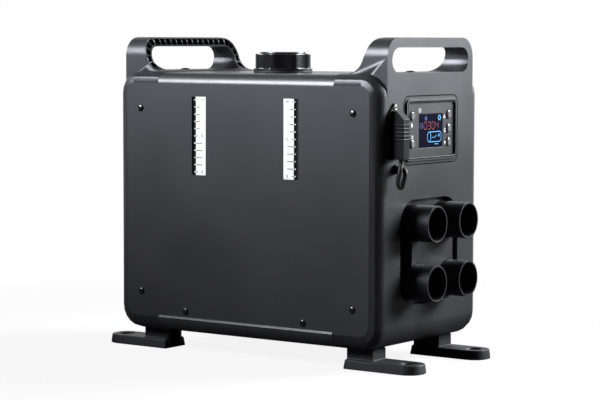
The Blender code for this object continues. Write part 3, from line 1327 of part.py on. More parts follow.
def feet():
    """Four feet that reach out past the ends, each on a block under the case."""
    half = FOOT_WIDE / 2
    bm = bmesh.new()
    rings = []
    for inset, z in ((0.0, 0.0), (FOOT_DRAFT, FOOT_THICK)):
        left = FOOT_IN + inset
        right = FOOT_OUT - inset
        side = half - inset
        bend = FOOT_ROUND - inset
        outline = [(left, -side), *arc((right - bend, -side + bend), bend, -90, 0, ARC_STEPS)]
        outline += [*arc((right - bend, side - bend), bend, 0, 90, ARC_STEPS), (left, side)]
        rings.append([bm.verts.new((x - foot_stud_x(), y, z)) for x, y in outline])
    count = len(rings[0])
    for index in range(count):
        after = (index + 1) % count
        bm.faces.new((rings[0][index], rings[1][index], rings[1][after], rings[0][after]))
    bm.faces.new(rings[0])
    bm.faces.new(list(reversed(rings[1])))
    foot = make_object("foot_right_front", bm)
    long = BLOCK_LONG / 2
    wide = BLOCK_WIDE / 2
    top = BODY_LIFT - GAP
    add(foot, box((-long, -wide, FOOT_THICK / 2), (long, wide, top)))
    add(foot, prism(circle((0, 0), STUD_RADIUS, SMALL_ROUND), "Z", top - FOOT_THICK / 2,
                    BODY_LIFT + SHELL_WALL))
    hole_x = FOOT_HOLE_X - foot_stud_x()
    hole = [(-FOOT_THICK, FOOT_HOLE), (FOOT_THICK - FOOT_SINK, FOOT_HOLE),
            (FOOT_THICK + FOOT_SINK, FOOT_HOLE + 2 * FOOT_SINK)]
    cut(foot, spindle(hole, "Z", (hole_x, 0, 0), SMALL_ROUND))
    notch = (top - NOTCH_TALL) / 2
    cut(foot, box((-BODY_WIDTH, -NOTCH_WIDE / 2, notch), (-long + NOTCH_DEEP, NOTCH_WIDE / 2,
                                                          notch + NOTCH_TALL)))
    x = foot_stud_x()
    complete(foot, RUBBER, (x, -FOOT_Y, 0))
    copy_of(foot, "foot_right_rear", (x, FOOT_Y, 0))
    copy_of(foot, "foot_left_front", (-x, -FOOT_Y, 0), (0, 0, 180))
    copy_of(foot, "foot_left_rear", (-x, FOOT_Y, 0), (0, 0, 180))



def main():
    """Build every piece of the heater."""
    end_shells()
    covers()
    screws()
    gauges()
    fuel_tank()
    fuel_cap()
    controller()
    connector()
    outlets()
    heater_case()
    heat_exchanger()
    burner()
    blower()
    pipes()
    floor_and_shelf()
    pump_and_lines()
    intake_grille()
    feet()
    heater = bpy.data.objects.new("heater", None)
    bpy.context.scene.collection.objects.link(heater)
    for piece in parts:
        piece.parent = heater


clear_scene()
main()
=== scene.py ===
"""Finishes for the parking heater: materials, printed detail, softened edges and studio.

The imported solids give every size. Each class below dresses one sub-assembly: it softens the
solid's edges on a copy that replaces it, or adds what a solid is too plain to show.
"""

import json
import logging
import math
import sys
from collections.abc import Callable
from dataclasses import dataclass, field
from enum import Enum

import bmesh
import bpy
from mathutils import Matrix, Vector

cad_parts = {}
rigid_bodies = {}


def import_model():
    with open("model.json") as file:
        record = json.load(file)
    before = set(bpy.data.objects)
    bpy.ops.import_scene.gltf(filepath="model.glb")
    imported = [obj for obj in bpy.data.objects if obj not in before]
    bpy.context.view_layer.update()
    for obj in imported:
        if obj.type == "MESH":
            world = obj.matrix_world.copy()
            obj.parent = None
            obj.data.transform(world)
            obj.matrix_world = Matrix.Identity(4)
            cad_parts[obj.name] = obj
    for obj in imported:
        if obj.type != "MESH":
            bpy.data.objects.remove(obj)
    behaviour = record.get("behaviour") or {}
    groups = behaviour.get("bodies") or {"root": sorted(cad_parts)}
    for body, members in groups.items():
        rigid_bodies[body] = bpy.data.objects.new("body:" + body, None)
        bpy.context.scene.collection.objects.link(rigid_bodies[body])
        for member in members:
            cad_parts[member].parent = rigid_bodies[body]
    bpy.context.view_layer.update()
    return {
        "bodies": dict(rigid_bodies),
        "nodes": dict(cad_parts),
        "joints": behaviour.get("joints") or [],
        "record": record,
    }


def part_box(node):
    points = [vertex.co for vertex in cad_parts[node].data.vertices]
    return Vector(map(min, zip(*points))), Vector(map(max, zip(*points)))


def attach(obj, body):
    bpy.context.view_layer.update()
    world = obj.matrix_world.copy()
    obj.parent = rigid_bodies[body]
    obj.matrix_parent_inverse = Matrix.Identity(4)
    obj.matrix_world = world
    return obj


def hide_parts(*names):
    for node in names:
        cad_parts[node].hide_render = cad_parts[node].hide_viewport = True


log = logging.getLogger("heater")

Flat = tuple[float, float]
Colour = tuple[float, float, float]
Point = tuple[float, float, float]
Mesh = bmesh.types.BMesh
Object = bpy.types.Object
Node = bpy.types.Node
Socket = bpy.types.NodeSocket
Tree = bpy.types.NodeTree

MERGE = 2e-6
FULL_LIGHT = (1.0, 1.0, 1.0, 1.0)


class Body(Enum):
    """The moving bodies of the heater that new pieces ride on, besides the keys'."""

    CASE = "case"
    SEAL = "seal"
    CAP = "cap"


class Facing(Enum):
    """Which way a printed or lit flat form looks out of the heater."""

    FRONT = "front"
    RIGHT = "right"


# ---- shader nodes


def feed(tree: Tree, made: Node, values: dict[str | int, object]) -> None:
    """Give a node's input sockets their constants and their links.

    Args:
        tree: the nodes that it belongs to.
        made: the node.
        values: for each socket its constant, the output that feeds it, or a node whose first
            output feeds it.
    """
    for label, value in values.items():
        if isinstance(value, Node):
            value = value.outputs[0]
        if isinstance(value, Socket):
            tree.links.new(value, made.inputs[label])
        else:
            made.inputs[label].default_value = value


def added(tree: Tree, kind: str, values: dict[str | int, object] | None = None,
          **options: object) -> Node:
    """Add a shader node.

    Args:
        tree: where it goes.
        kind: its type, without the ShaderNode in front.
        values: what its input sockets get, as in feed.
        options: its settings.

    Returns:
        The new node.
    """
    made = tree.nodes.new("ShaderNode" + kind)
    for label, value in options.items():
        setattr(made, label, value)
    feed(tree, made, values or {})
    return made


class Effects:
    """Shader node groups that several finishes share, each built once."""

    def __init__(self) -> None:
        """Build the groups."""
        self.grain = self._grain()
        self.wear = self._wear()
        self.film = self._film()

    @staticmethod
    def _group(name: str, numbers: dict[str, float],
               results: dict[str, str]) -> tuple[Tree, bpy.types.NodeOutputs, Node]:
        """Make an empty group that takes coordinates.

        Args:
            name: the group's name.
            numbers: its other inputs with their defaults.
            results: its outputs with their types.

        Returns:
            The new node tree, the sockets of its inputs and its output node.
        """
        tree = bpy.data.node_groups.new(name, "ShaderNodeTree")
        tree.interface.new_socket("Vector", in_out="INPUT", socket_type="NodeSocketVector")
        for label, value in numbers.items():
            tree.interface.new_socket(
                label, in_out="INPUT", socket_type="NodeSocketFloat").default_value = value
        for label, kind in results.items():
            tree.interface.new_socket(label, in_out="OUTPUT", socket_type="NodeSocket" + kind)
        given = tree.nodes.new("NodeGroupInput").outputs
        return tree, given, tree.nodes.new("NodeGroupOutput")

    def _grain(self) -> Tree:
        """Fine moulded or sprayed grain: a height and a faint change of shade."""
        tree, given, sink = self._group(
            "moulded grain", {"Scale": 1500.0, "Shade": 0.1},
            {"Height": "Float", "Shade": "Float"})
        place = {"Vector": given["Vector"], "Scale": given["Scale"]}
        fine = added(tree, "TexNoise", {**place, "Detail": 2.0, "Roughness": 0.6}).outputs["Fac"]
        cells = added(tree, "TexVoronoi", place, feature="SMOOTH_F1")
        height = added(tree, "Math", {0: cells.outputs["Distance"], 1: 0.5, 2: fine},
                       operation="MULTIPLY_ADD")
        low = added(tree, "Math", {0: 1.0, 1: given["Shade"]}, operation="SUBTRACT")
        high = added(tree, "Math", {0: 1.0, 1: given["Shade"]}, operation="ADD")
        shade = added(tree, "MapRange", {
            "Value": fine, "From Min": 0.3, "From Max": 0.7, "To Min": low, "To Max": high})
        feed(tree, sink, {"Height": height, "Shade": shade})
        return tree

    def _wear(self) -> Tree:
        """A mask that is high where an edge is rubbed, broken up by noise."""
        tree, given, sink = self._group(
            "rubbed edge", {"Radius": 0.0006}, {"Mask": "Float", "Normal": "Vector"})
        soft = added(tree, "Bevel", {"Radius": given["Radius"]}, samples=4).outputs["Normal"]
        flat = added(tree, "NewGeometry").outputs["Normal"]
        dot = added(tree, "VectorMath", {0: soft, 1: flat}, operation="DOT_PRODUCT")
        turn = added(tree, "MapRange", {
            "Value": dot.outputs["Value"], "From Min": 0.995, "From Max": 0.75})
        noise = added(tree, "TexNoise", {
            "Vector": given["Vector"], "Scale": 60.0, "Detail": 3.0})
        patch = added(tree, "MapRange", {
            "Value": noise.outputs["Fac"], "From Min": 0.35, "From Max": 0.65})
        mask = added(tree, "Math", {0: turn, 1: patch}, operation="MULTIPLY")
        feed(tree, sink, {"Mask": mask, "Normal": soft})
        return tree

    def _film(self) -> Tree:
        """Handling marks and a trace of dust: slow patches over the surface."""
        tree, given, sink = self._group("handling film", {"Scale": 9.0}, {"Patch": "Float"})
        noise = added(tree, "TexNoise", {
            "Vector": given["Vector"], "Scale": given["Scale"], "Detail": 4.0,
            "Distortion": 0.8})
        span = added(tree, "MapRange", {
            "Value": noise.outputs["Fac"], "From Min": 0.3, "From Max": 0.7})
        feed(tree, sink, {"Patch": span})
        return tree


# ---- finishes


@dataclass(frozen=True)
class Finish:
    """A finish with grain, handling marks and rubbed edges.

    Attributes:
        title: plain name of the material.
        slot: the record's material slot; not used.
        colour: base colour.
        roughness: middle roughness.
        metallic: share of metal.
        specular: strength of the surface reflection.
        tint: colour of the surface reflection.
        coat: clear coat over the finish.
        coat_rough: how soft the coat's reflections are.
        grain: grains per metre.
        depth: height of the grain in metres.
        shade: how far the grain changes the colour.
        smear: how far handling changes the roughness.
        rubbed: colour of rubbed edges.
        rub: how much of the rubbed colour shows.
        edge: radius over which edges are softened in shading.
    """

    title: str
    slot: str
    colour: Colour
    roughness: float
    metallic: float = 0.0
    specular: float = 0.5
    tint: Colour = (1.0, 1.0, 1.0)
    coat: float = 0.0
    coat_rough: float = 0.12
    grain: float = 1500.0
    depth: float = 0.00004
    shade: float = 0.10
    smear: float = 0.06
    rubbed: Colour = (0.10, 0.10, 0.105)
    rub: float = 0.25
    edge: float = 0.0005

    def build(self, effects: Effects) -> bpy.types.Material:
        """Make the material.

        Args:
            effects: the shared node groups.

        Returns:
            The new material.
        """
        material = bpy.data.materials.new(self.title)
        material.use_nodes = True
        tree = material.node_tree
        shader = tree.nodes["Principled BSDF"]
        feed(tree, shader, {
            "Metallic": self.metallic, "Specular IOR Level": self.specular,
            "Specular Tint": (*self.tint, 1), "Coat Weight": self.coat,
            "Coat Roughness": self.coat_rough})
        self.surface(tree, shader, effects)
        return material

    def surface(self, tree: Tree, shader: Node, effects: Effects) -> None:
        """Wire colour, roughness and normal.

        Args:
            tree: the material's nodes.
            shader: its Principled BSDF.
            effects: the shared node groups.
        """
        place = added(tree, "TexCoord").outputs["Object"]
        grain = self.effect(tree, effects.grain, place, Scale=self.grain, Shade=self.shade)
        wear = self.effect(tree, effects.wear, place, Radius=self.edge)
        film = self.effect(tree, effects.film, place)
        tint = added(tree, "VectorMath", {0: self.colour, "Scale": grain.outputs["Shade"]},
                     operation="SCALE")
        amount = added(
            tree, "Math", {0: wear.outputs["Mask"], 1: self.rub}, operation="MULTIPLY")
        colour = added(tree, "Mix", {"Factor": amount, "A": tint, "B": (*self.rubbed, 1)},
                       data_type="RGBA")
        rough = added(tree, "MapRange", {
            "Value": film, "To Min": self.roughness - self.smear,
            "To Max": self.roughness + self.smear})
        bump = added(tree, "Bump", {
            "Distance": self.depth, "Strength": 1.0, "Height": grain.outputs["Height"],
            "Normal": wear.outputs["Normal"]})
        feed(tree, shader, {
            "Base Color": colour.outputs["Result"], "Roughness": rough, "Normal": bump})

    @staticmethod
    def effect(tree: Tree, group: Tree, place: Socket, **values: float) -> Node:
        """Place a shared group on the surface's own coordinates, with values of its own."""
        return added(tree, "Group", {"Vector": place, **values}, node_tree=group)


@dataclass(frozen=True)
class Lit(Finish):
    """Ink of the display that gives its own light, with a faint flicker between its cells."""

    light: Colour = (0.1, 0.4, 1.0)
    cells: float = 400.0
    flicker: Flat = (0.75, 1.15)

    def surface(self, tree: Tree, shader: Node, effects: Effects) -> None:
        """Wire the surface and its glow."""
        super().surface(tree, shader, effects)
        place = added(tree, "TexCoord").outputs["Object"]
        film = self.effect(tree, effects.film, place, Scale=self.cells)
        low, high = self.flicker
        span = added(tree, "MapRange", {"Value": film, "To Min": low, "To Max": high})
        glow = added(tree, "VectorMath", {0: self.light, "Scale": span}, operation="SCALE")
        feed(tree, shader, {"Emission Color": glow, "Emission Strength": 1.0})


COOL = (0.90, 0.90, 1.0)
CASE_PLASTIC = Finish(
    "textured case plastic", "case_plastic", (0.018, 0.018, 0.021), 0.40, tint=COOL,
    grain=1100.0, depth=0.00005, shade=0.12, rubbed=(0.03, 0.03, 0.034), rub=0.2, edge=0.0001)
# Painted shade: a darker, duller copy of the case plastic for the rib and rim end faces inside
# the handles, which are the same plastic as the shell.
RIB_PAINTED_SHADE = Finish(
    "handle rib plastic with painted shade", "case_plastic", (0.009, 0.009, 0.011), 0.60, specular=0.08,
    grain=1100.0, depth=0.00003, rub=0.0, edge=0.0001)
SHEET = Finish(
    "powder coated sheet", "painted_sheet", (0.016, 0.016, 0.019), 0.50, tint=COOL, coat=0.42,
    coat_rough=0.19, grain=1900.0, depth=0.000012, edge=0.0004, rubbed=(0.10, 0.10, 0.108))
BLACK = Finish(
    "black moulded plastic", "black_plastic", (0.012, 0.012, 0.014), 0.46, specular=0.3,
    tint=COOL, depth=0.00002, rubbed=(0.20, 0.20, 0.21), rub=0.5, edge=0.0003)
# Painted shade: dull black laid as thin lines where a gap, a groove or a key's well would lie in
# shade.
PAINTED_SHADE = Finish(
    "painted shade line", "black_plastic", (0.002, 0.002, 0.0025), 0.85, specular=0.03,
    depth=0.00001, rub=0.0)
PLUG = Finish(
    "satin plug plastic", "black_plastic", (0.006, 0.006, 0.008), 0.40, specular=0.15,
    tint=COOL, grain=1300.0, depth=0.00001, rubbed=(0.05, 0.05, 0.055), rub=0.15, edge=0.0003)
GLOSS = Finish(
    "gloss black plastic", "gloss_black", (0.006, 0.006, 0.008), 0.22, coat=0.35,
    coat_rough=0.17, grain=900.0, depth=0.000006, smear=0.05, edge=0.0003)
RUBBER = Finish(
    "black rubber", "rubber", (0.013, 0.013, 0.015), 0.55, specular=0.4, tint=COOL,
    grain=1300.0, depth=0.00005, smear=0.1, rubbed=(0.05, 0.05, 0.05))
SCREW = Finish(
    "blackened screw", "black_screw", (0.008, 0.008, 0.010), 0.14, coat=1.0, grain=2500.0,
    depth=0.000004, smear=0.04, rubbed=(0.20, 0.20, 0.21), rub=0.3)
STEEL = Finish(
    "zinc plated steel", "steel", (0.47, 0.47, 0.46), 0.36, metallic=1.0, grain=2200.0,
    depth=0.00001, shade=0.05)
CAST = Finish(
    "cast aluminium", "cast_aluminium", (0.55, 0.56, 0.57), 0.48, metallic=1.0, grain=700.0,
    depth=0.00008, shade=0.08)
TANK = Finish(
    "natural tank plastic", "tank_plastic", (0.60, 0.58, 0.52), 0.48, grain=500.0, shade=0.05)
WHITE = Finish(
    "white print", "white_scale", (0.82, 0.83, 0.85), 0.5, grain=2500.0, depth=0.00001,
    shade=0.03, rub=0.0)
GREY_PRINT = Finish(
    "dark scale print", "white_scale", (0.06, 0.06, 0.065), 0.5, grain=2500.0, depth=0.00001,
    rub=0.0)
SIGHT = Finish(
    "dark sight strip", "sight_strip", (0.012, 0.012, 0.014), 0.2, grain=800.0, depth=0.00001)
KEY = Finish(
    "satin key", "key", (0.16, 0.16, 0.17), 0.30, grain=1600.0, depth=0.00001,
    rubbed=(0.25, 0.25, 0.25), edge=0.0003)
GLASS = Finish(
    "display glass", "display", (0.0035, 0.0045, 0.016), 0.25, specular=0.03, grain=300.0,
    depth=0.0, smear=0.02, rub=0.0)
BOARD = Finish(
    "circuit board", "circuit_board", (0.012, 0.075, 0.035), 0.42, grain=900.0, depth=0.00006,
    shade=0.25)
SHEATH = Finish(
    "cable sheath", "cable", (0.010, 0.010, 0.011), 0.42, grain=1200.0, depth=0.00003)
BLUE = Lit(
    "dim blue segment", "display", (0.01, 0.03, 0.12), 0.4, depth=0.0, rub=0.0,
    light=(0.012, 0.040, 0.20))
CYAN = Lit(
    "light blue segment", "display", (0.05, 0.2, 0.4), 0.4, depth=0.0, rub=0.0,
    light=(0.09, 0.36, 0.72))
RED = Lit(
    "red segment", "display", (0.1, 0.01, 0.01), 0.4, depth=0.0, rub=0.0,
    light=(0.17, 0.008, 0.014))


# ---- workshop


@dataclass
class Workshop:
    """Makes pieces, gives them their finish and sets them on their body."""

    frame: dict
    effects: Effects
    materials: dict[str, bpy.types.Material] = field(default_factory=dict)
    merge_angle: float = 0.6
    round_faces: int = 3
    even_weight: int = 80

    def material(self, finish: Finish) -> bpy.types.Material:
        """The material of a finish, built on its first use."""
        if finish.title not in self.materials:
            self.materials[finish.title] = finish.build(self.effects)
        return self.materials[finish.title]

    def coat(self, node: str, finish: Finish) -> None:
        """Give a solid that stays as it is its finish.

        Args:
            node: the solid's name.
            finish: what it is finished in.
        """
        mesh = self.frame["nodes"][node].data
        mesh.materials.clear()
        mesh.materials.append(self.material(finish))
        log.info("%s keeps its solid, in %s", node, finish.title)

    def piece(self, name: str, bm: Mesh, finish: Finish, replaces: tuple[str, ...] = (),
              body: str = Body.CASE.value, smooth: float = 35.0) -> Object:
        """Turn a bmesh into a finished piece that rides on a body.

        Args:
            name: plain name of the piece.
            bm: its shape, freed here.
            finish: what it is finished in.
            replaces: solids that it stands for.
            body: the body that it rides on.
            smooth: faces that meet below this angle shade as one, in degrees.

        Returns:
            The new object.
        """
        mesh = bpy.data.meshes.new(name)
        bm.to_mesh(mesh)
        bm.free()
        mesh.shade_smooth()
        mesh.set_sharp_from_angle(angle=math.radians(smooth))
        made = placed(name, mesh)
        mesh.materials.append(self.material(finish))
        even = made.modifiers.new("even shading", "WEIGHTED_NORMAL")
        even.keep_sharp = True
        even.weight = self.even_weight
        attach(made, body)
        if replaces:
            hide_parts(*replaces)
        log.info("%s: %d faces in %s", name, len(mesh.polygons), finish.title)
        return made

    def merged(self, node: str) -> Mesh:
        """A copy of a solid with its loose triangles merged into whole faces."""
        bm = bmesh.new()
        bm.from_mesh(self.frame["nodes"][node].data)
        bmesh.ops.remove_doubles(bm, verts=bm.verts, dist=MERGE)
        bmesh.ops.dissolve_limit(
            bm, angle_limit=math.radians(self.merge_angle), verts=bm.verts, edges=bm.edges,
            delimit=set())
        return bm

    def soften(self, node: str, finish: Finish, radius: float, body: str = Body.CASE.value,
               angle: float = 40.0, smooth: float = 35.0,
               skip: Callable[[bmesh.types.BMEdge], bool] | None = None,
               extra: Mesh | None = None) -> Object:
        """Replace a solid by a copy whose hard edges are rounded.

        Args:
            node: the solid's name.
            finish: what it is finished in.
            radius: width of the rounding.
            body: the body that it rides on.
            angle: edges that turn more than this are rounded, in degrees.
            smooth: faces that meet below this angle shade as one, in degrees.
            skip: a test of an edge that is left hard.
            extra: a closed form that belongs to the same piece, freed here.

        Returns:
            The new object.
        """
        bm = self.merged(node)
        limit = math.radians(angle)
        hard = [edge for edge in bm.edges
                if edge.is_manifold and edge.calc_face_angle() > limit
                and edge.calc_length() > radius * 0.5 and not (skip and skip(edge))]
        bmesh.ops.bevel(
            bm, geom=hard, offset=radius, offset_type="OFFSET", affect="EDGES",
            segments=self.round_faces, profile=0.5, material=-1, clamp_overlap=True)
        if extra:
            mesh = bpy.data.meshes.new("extra")
            extra.to_mesh(mesh)
            extra.free()
            bm.from_mesh(mesh)
            bpy.data.meshes.remove(mesh)
        return self.piece(node + "_finished", bm, finish, (node,), body, smooth)


def placed(name: str, data: bpy.types.ID) -> Object:
    """Put a mesh, curve, lamp or camera into the scene under this name."""
    made = bpy.data.objects.new(name, data)
    bpy.context.scene.collection.objects.link(made)
    return made


def turned(profile: list[Flat], axis: Vector, centre: Vector, steps: int) -> Mesh:
    """Spin a half section round an axis.

    Args:
        profile: (place along the axis, radius), from one end to the other.
        axis: direction of the axis.
        centre: where the axis starts.
        steps: faces round the axis.

    Returns:
        The closed shape.
    """
    bm = bmesh.new()
    side = axis.orthogonal().normalized()
    points = [bm.verts.new(centre + axis * along + side * out) for along, out in profile]
    edges = [bm.edges.new(pair) for pair in zip(points, points[1:])]
    bmesh.ops.spin(
        bm, geom=points + edges, cent=centre, axis=axis, angle=math.tau, steps=steps,
        use_merge=True)
    bmesh.ops.remove_doubles(bm, verts=bm.verts, dist=MERGE / 2)
    bmesh.ops.recalc_face_normals(bm, faces=bm.faces)
    return bm


def push(bm: Mesh, faces: list[bmesh.types.BMFace], by: Vector, gone: bool = False) -> None:
    """Move a copy of faces, with walls back to where they were.

    Args:
        bm: the shape.
        faces: the faces.
        by: how far the copy moves.
        gone: whether the faces themselves go.
    """
    made = bmesh.ops.extrude_face_region(bm, geom=faces)
    if gone:
        bmesh.ops.delete(bm, geom=faces, context="FACES")
    moved = [v for v in made["geom"] if isinstance(v, bmesh.types.BMVert)]
    bmesh.ops.translate(bm, verts=moved, vec=by)
    bmesh.ops.recalc_face_normals(bm, faces=bm.faces)


def polar(centre: Flat, reach: float, angle: float) -> Flat:
    """The point at this reach and angle, in radians, from a centre."""
    return centre[0] + reach * math.cos(angle), centre[1] + reach * math.sin(angle)


@dataclass
class Printer:
    """Lays thin printed or lit forms on a flat face of the heater."""

    facing: Facing
    level: float
    thick: float = 0.00008
    ring_steps: int = 20
    bm: Mesh = field(default_factory=bmesh.new)

    def place(self, across: float, up: float, out: float = 0.0) -> Vector:
        """A point of the face: across and up on it, and out from it."""
        if self.facing is Facing.FRONT:
            return Vector((across, self.level - out, up))
        return Vector((self.level + out, across, up))

    def slab(self, outline: list[Flat]) -> None:
        """Add a closed slab with this outline."""
        face = self.bm.faces.new([self.bm.verts.new(self.place(a, b)) for a, b in outline])
        push(self.bm, [face], self.place(0, 0, self.thick) - self.place(0, 0))

    def bar(self, start: Flat, end: Flat, width: float) -> None:
        """Add a straight bar from start to end."""
        along = Vector((end[0] - start[0], end[1] - start[1])).normalized()
        off = Vector((-along.y, along.x)) * width / 2
        first, last = Vector(start), Vector(end)
        self.slab([
            tuple(first - off), tuple(last - off), tuple(last + off), tuple(first + off)])

    def ray(self, centre: Flat, degrees: float, start: float, end: float,
            width: float) -> None:
        """Add a bar on a line through a centre, from one reach to another."""
        angle = math.radians(degrees)
        self.bar(polar(centre, start, angle), polar(centre, end, angle), width)

    def band(self, inner: list[Flat], outer: list[Flat], closed: bool) -> None:
        """Add slabs between two rims with as many points each."""
        count = len(inner)
        for index in range(count if closed else count - 1):
            after = (index + 1) % count
            self.slab([inner[index], outer[index], outer[after], inner[after]])

    def ring(self, centre: Flat, radius: float, width: float, start: float = 0.0,
             sweep: float = 360.0) -> None:
        """Add part of a ring, angles in degrees from across towards up."""
        whole, steps = sweep >= 360.0, self.ring_steps
        angles = [math.radians(start + sweep * i / steps)
                  for i in range(steps if whole else steps + 1)]
        inner, outer = ([polar(centre, reach, a) for a in angles]
                        for reach in (radius - width / 2, radius + width / 2))
        self.band(inner, outer, whole)


# ---- sub-assemblies


@dataclass
class Case:
    """The two moulded ends, the sheet covers and the feet."""

    shop: Workshop
    shell_edge: float = 0.0006
    sheet_edge: float = 0.0007
    foot_edge: float = 0.0016
    grille_edge: float = 0.0004
    lip_z: float = 0.0422
    lip_tall: float = 0.0026
    lip_out: float = 0.0010
    lip_sunk: float = 0.0004
    lip_slope: float = 0.0003
    lip_start: float = 0.00005
    lip_half: float = 0.1262
    rib_z: float = 0.312
    rib_x: float = 0.1875
    rib_facing: float = 0.9

    def build(self) -> None:
        """Dress the case."""
        for end in ("left", "right"):
            shell = self.shop.soften(
                end + "_end_shell", CASE_PLASTIC, self.shell_edge, skip=self.on_rib)
            # Painted shade: the rib and rim end faces inside each handle take the darker
            # plastic.
            shell.data.materials.append(self.shop.material(RIB_PAINTED_SHADE))
            for face in shell.data.polygons:
                if self.in_hollow(face.center) and abs(face.normal.x) > self.rib_facing:
                    face.material_index = 1
        for node, side in (("front_cover", -1), ("rear_cover", 1)):
            self.shop.soften(node, SHEET, self.sheet_edge, extra=self.lip(node, side))
        for end in ("left", "right"):
            for row in ("front", "rear"):
                self.shop.soften(f"foot_{end}_{row}", RUBBER, self.foot_edge)
        self.shop.soften("intake_grille", BLACK, self.grille_edge)
        for node in ("floor_plate", "tank_shelf"):
            self.shop.coat(node, STEEL)

    def in_hollow(self, spot: Vector) -> bool:
        """Whether a point lies on the inner side of a handle, where the ribs are."""
        return spot.z > self.rib_z and abs(spot.x) < self.rib_x

    def on_rib(self, edge: bmesh.types.BMEdge) -> bool:
        """Whether an edge lies on the ribs, which stay crisp."""
        return self.in_hollow((edge.verts[0].co + edge.verts[1].co) / 2)

    def lip(self, node: str, side: int) -> Mesh:
        """The lip where a cover's panel ends and its lower roll begins.

        Args:
            node: the cover.
            side: -1 for the front, 1 for the rear.

        Returns:
            A closed wedge that stands out from the panel at its lower edge.
        """
        low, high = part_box(node)
        panel = low.y if side < 0 else high.y
        half = self.lip_tall / 2
        section = ((-self.lip_sunk, half), (-self.lip_sunk, -half - self.lip_slope),
                   (self.lip_out, -half), (self.lip_start, half))
        bm = bmesh.new()
        face = bm.faces.new([bm.verts.new((-self.lip_half, panel + side * out, self.lip_z + up))
                             for out, up in section])
        push(bm, [face], Vector((2 * self.lip_half, 0, 0)))
        return bm


@dataclass
class Screws:
    """Domed screws with a cross recess."""

    shop: Workshop
    rise: float = 0.0022
    shank: float = 0.0016
    head_share: float = 1.3
    under_share: float = 0.96
    brim_share: float = 0.78
    dome_steps: int = 6
    facets: int = 32
    recess_wide: float = 0.0009
    recess_share: float = 0.62
    recess_deep: float = 0.0009
    dome_facing: float = 0.3

    def build(self) -> None:
        """Replace each screw by one with a recess."""
        for node in sorted(self.shop.frame["nodes"]):
            if node.startswith("screw_"):
                self.screw(node)

    def screw(self, node: str) -> None:
        """Model one screw.

        Args:
            node: the solid that it replaces.
        """
        low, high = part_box(node)
        if "front" in node or "floor" in node:
            axis = Vector((0, -1, 0))
        elif "rear" in node:
            axis = Vector((0, 1, 0))
        else:
            axis = Vector((0, 0, 1))
        reach = (high - low).dot(Vector([abs(c) for c in axis])) / 2
        tip = (low + high) / 2 + axis * reach
        across = [b - a for a, b, c in zip(low, high, axis) if abs(c) < 0.5]
        head = self.head_share * max(across) / 2
        brim = self.rise * self.brim_share
        profile = [(-2 * reach, 0.0), (-2 * reach, self.shank), (-self.rise, self.shank),
                   (-self.rise, head * self.under_share), (-brim, head)]
        for step in range(1, self.dome_steps):
            angle = math.radians(90 * step / self.dome_steps)
            profile.append((-brim * (1 - math.sin(angle)), head * math.cos(angle)))
        bm = turned(profile + [(0.0, 0.0)], axis, tip, self.facets)
        self.recess(bm, tip, axis, head)
        self.shop.piece(node + "_finished", bm, SCREW, (node,))

    def recess(self, bm: Mesh, tip: Vector, axis: Vector, head: float) -> None:
        """Sink the faces of the dome that lie under a cross."""
        side = axis.orthogonal().normalized()
        other = axis.cross(side)
        arm, half = head * self.recess_share, self.recess_wide / 2
        for across in (side, other):
            for off in (-half, -arm, half, arm):
                bmesh.ops.bisect_plane(
                    bm, geom=bm.verts[:] + bm.edges[:] + bm.faces[:],
                    plane_co=tip + across * off, plane_no=across)
        under = []
        for face in bm.faces:
            centre = face.calc_center_median() - tip
            a, b = abs(centre.dot(side)), abs(centre.dot(other))
            if face.normal.dot(axis) > self.dome_facing and (
                    (a < half and b < arm) or (b < half and a < arm)):
                under.append(face)
        push(bm, under, -axis * self.recess_deep, gone=True)


@dataclass
class Gauges:
    """The white scales with their teeth, marks and numbers."""

    shop: Workshop
    marks: int = 11
    tooth_wide: float = 0.0012
    tooth_long: float = 0.0026
    overlap: float = 0.0001
    mark_wide: float = 0.0010
    end_inset: float = 0.0036
    short: float = 0.0062
    long: float = 0.0092
    stub: float = 0.0028
    text_shift: float = 0.0022
    text_size: float = 0.0050
    text_thick: float = 0.00004

    def build(self) -> None:
        """Model both gauges."""
        for side, name in ((-1, "left"), (1, "right")):
            self.gauge(side, name)
            self.shop.coat("sight_strip_" + name, SIGHT)

    def gauge(self, side: int, name: str) -> None:
        """Model one scale.

        Args:
            side: which side of the scale its slot lies on, -1 for left.
            name: left or right.
        """
        node = "gauge_scale_" + name
        low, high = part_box(node)
        edge = low.x if side < 0 else high.x
        base = Printer(Facing.FRONT, high.y, high.y - low.y)
        base.slab([(low.x, low.z), (high.x, low.z), (high.x, high.z), (low.x, high.z)])
        pitch = (high.z - low.z - 2 * self.end_inset) / (self.marks - 1)
        heights = [high.z - self.end_inset - pitch * i for i in range(self.marks)]
        for z in heights:
            base.bar((edge - side * self.overlap, z), (edge + side * self.tooth_long, z),
                     self.tooth_wide)
        self.shop.piece("scale_" + name, base.bm, WHITE, (node,))
        marks = Printer(Facing.FRONT, low.y)
        centre = self.marks // 2
        for index, z in enumerate(heights):
            reach = self.short if index < centre else self.long
            if index in (0, centre, self.marks - 1):
                reach = self.stub
            marks.bar((edge, z), (edge - side * reach, z), self.mark_wide)
        middle = (low.x + high.x) / 2 - side * self.text_shift
        for text, z in (("10", heights[0]), ("5L", heights[centre]), ("0", heights[-1])):
            self.number(marks.bm, text, Vector((middle, low.y - self.text_thick, z)))
        self.shop.piece("scale_marks_" + name, marks.bm, GREY_PRINT)

    def number(self, bm: Mesh, text: str, middle: Vector) -> None:
        """Add a printed number, centred on a point of the front.

        Args:
            bm: the marks so far.
            text: the number.
            middle: its middle.
        """
        curve = bpy.data.curves.new("number", "FONT")
        curve.body = text
        curve.size = self.text_size
        curve.align_x = curve.align_y = "CENTER"
        curve.extrude = self.text_thick
        holder = bpy.data.objects.new("number", curve)
        mesh = bpy.data.meshes.new_from_object(holder)
        mesh.transform(Matrix.Translation(middle) @ Matrix.Rotation(math.pi / 2, 4, "X"))
        bm.from_mesh(mesh)
        bpy.data.objects.remove(holder)
        bpy.data.meshes.remove(mesh)


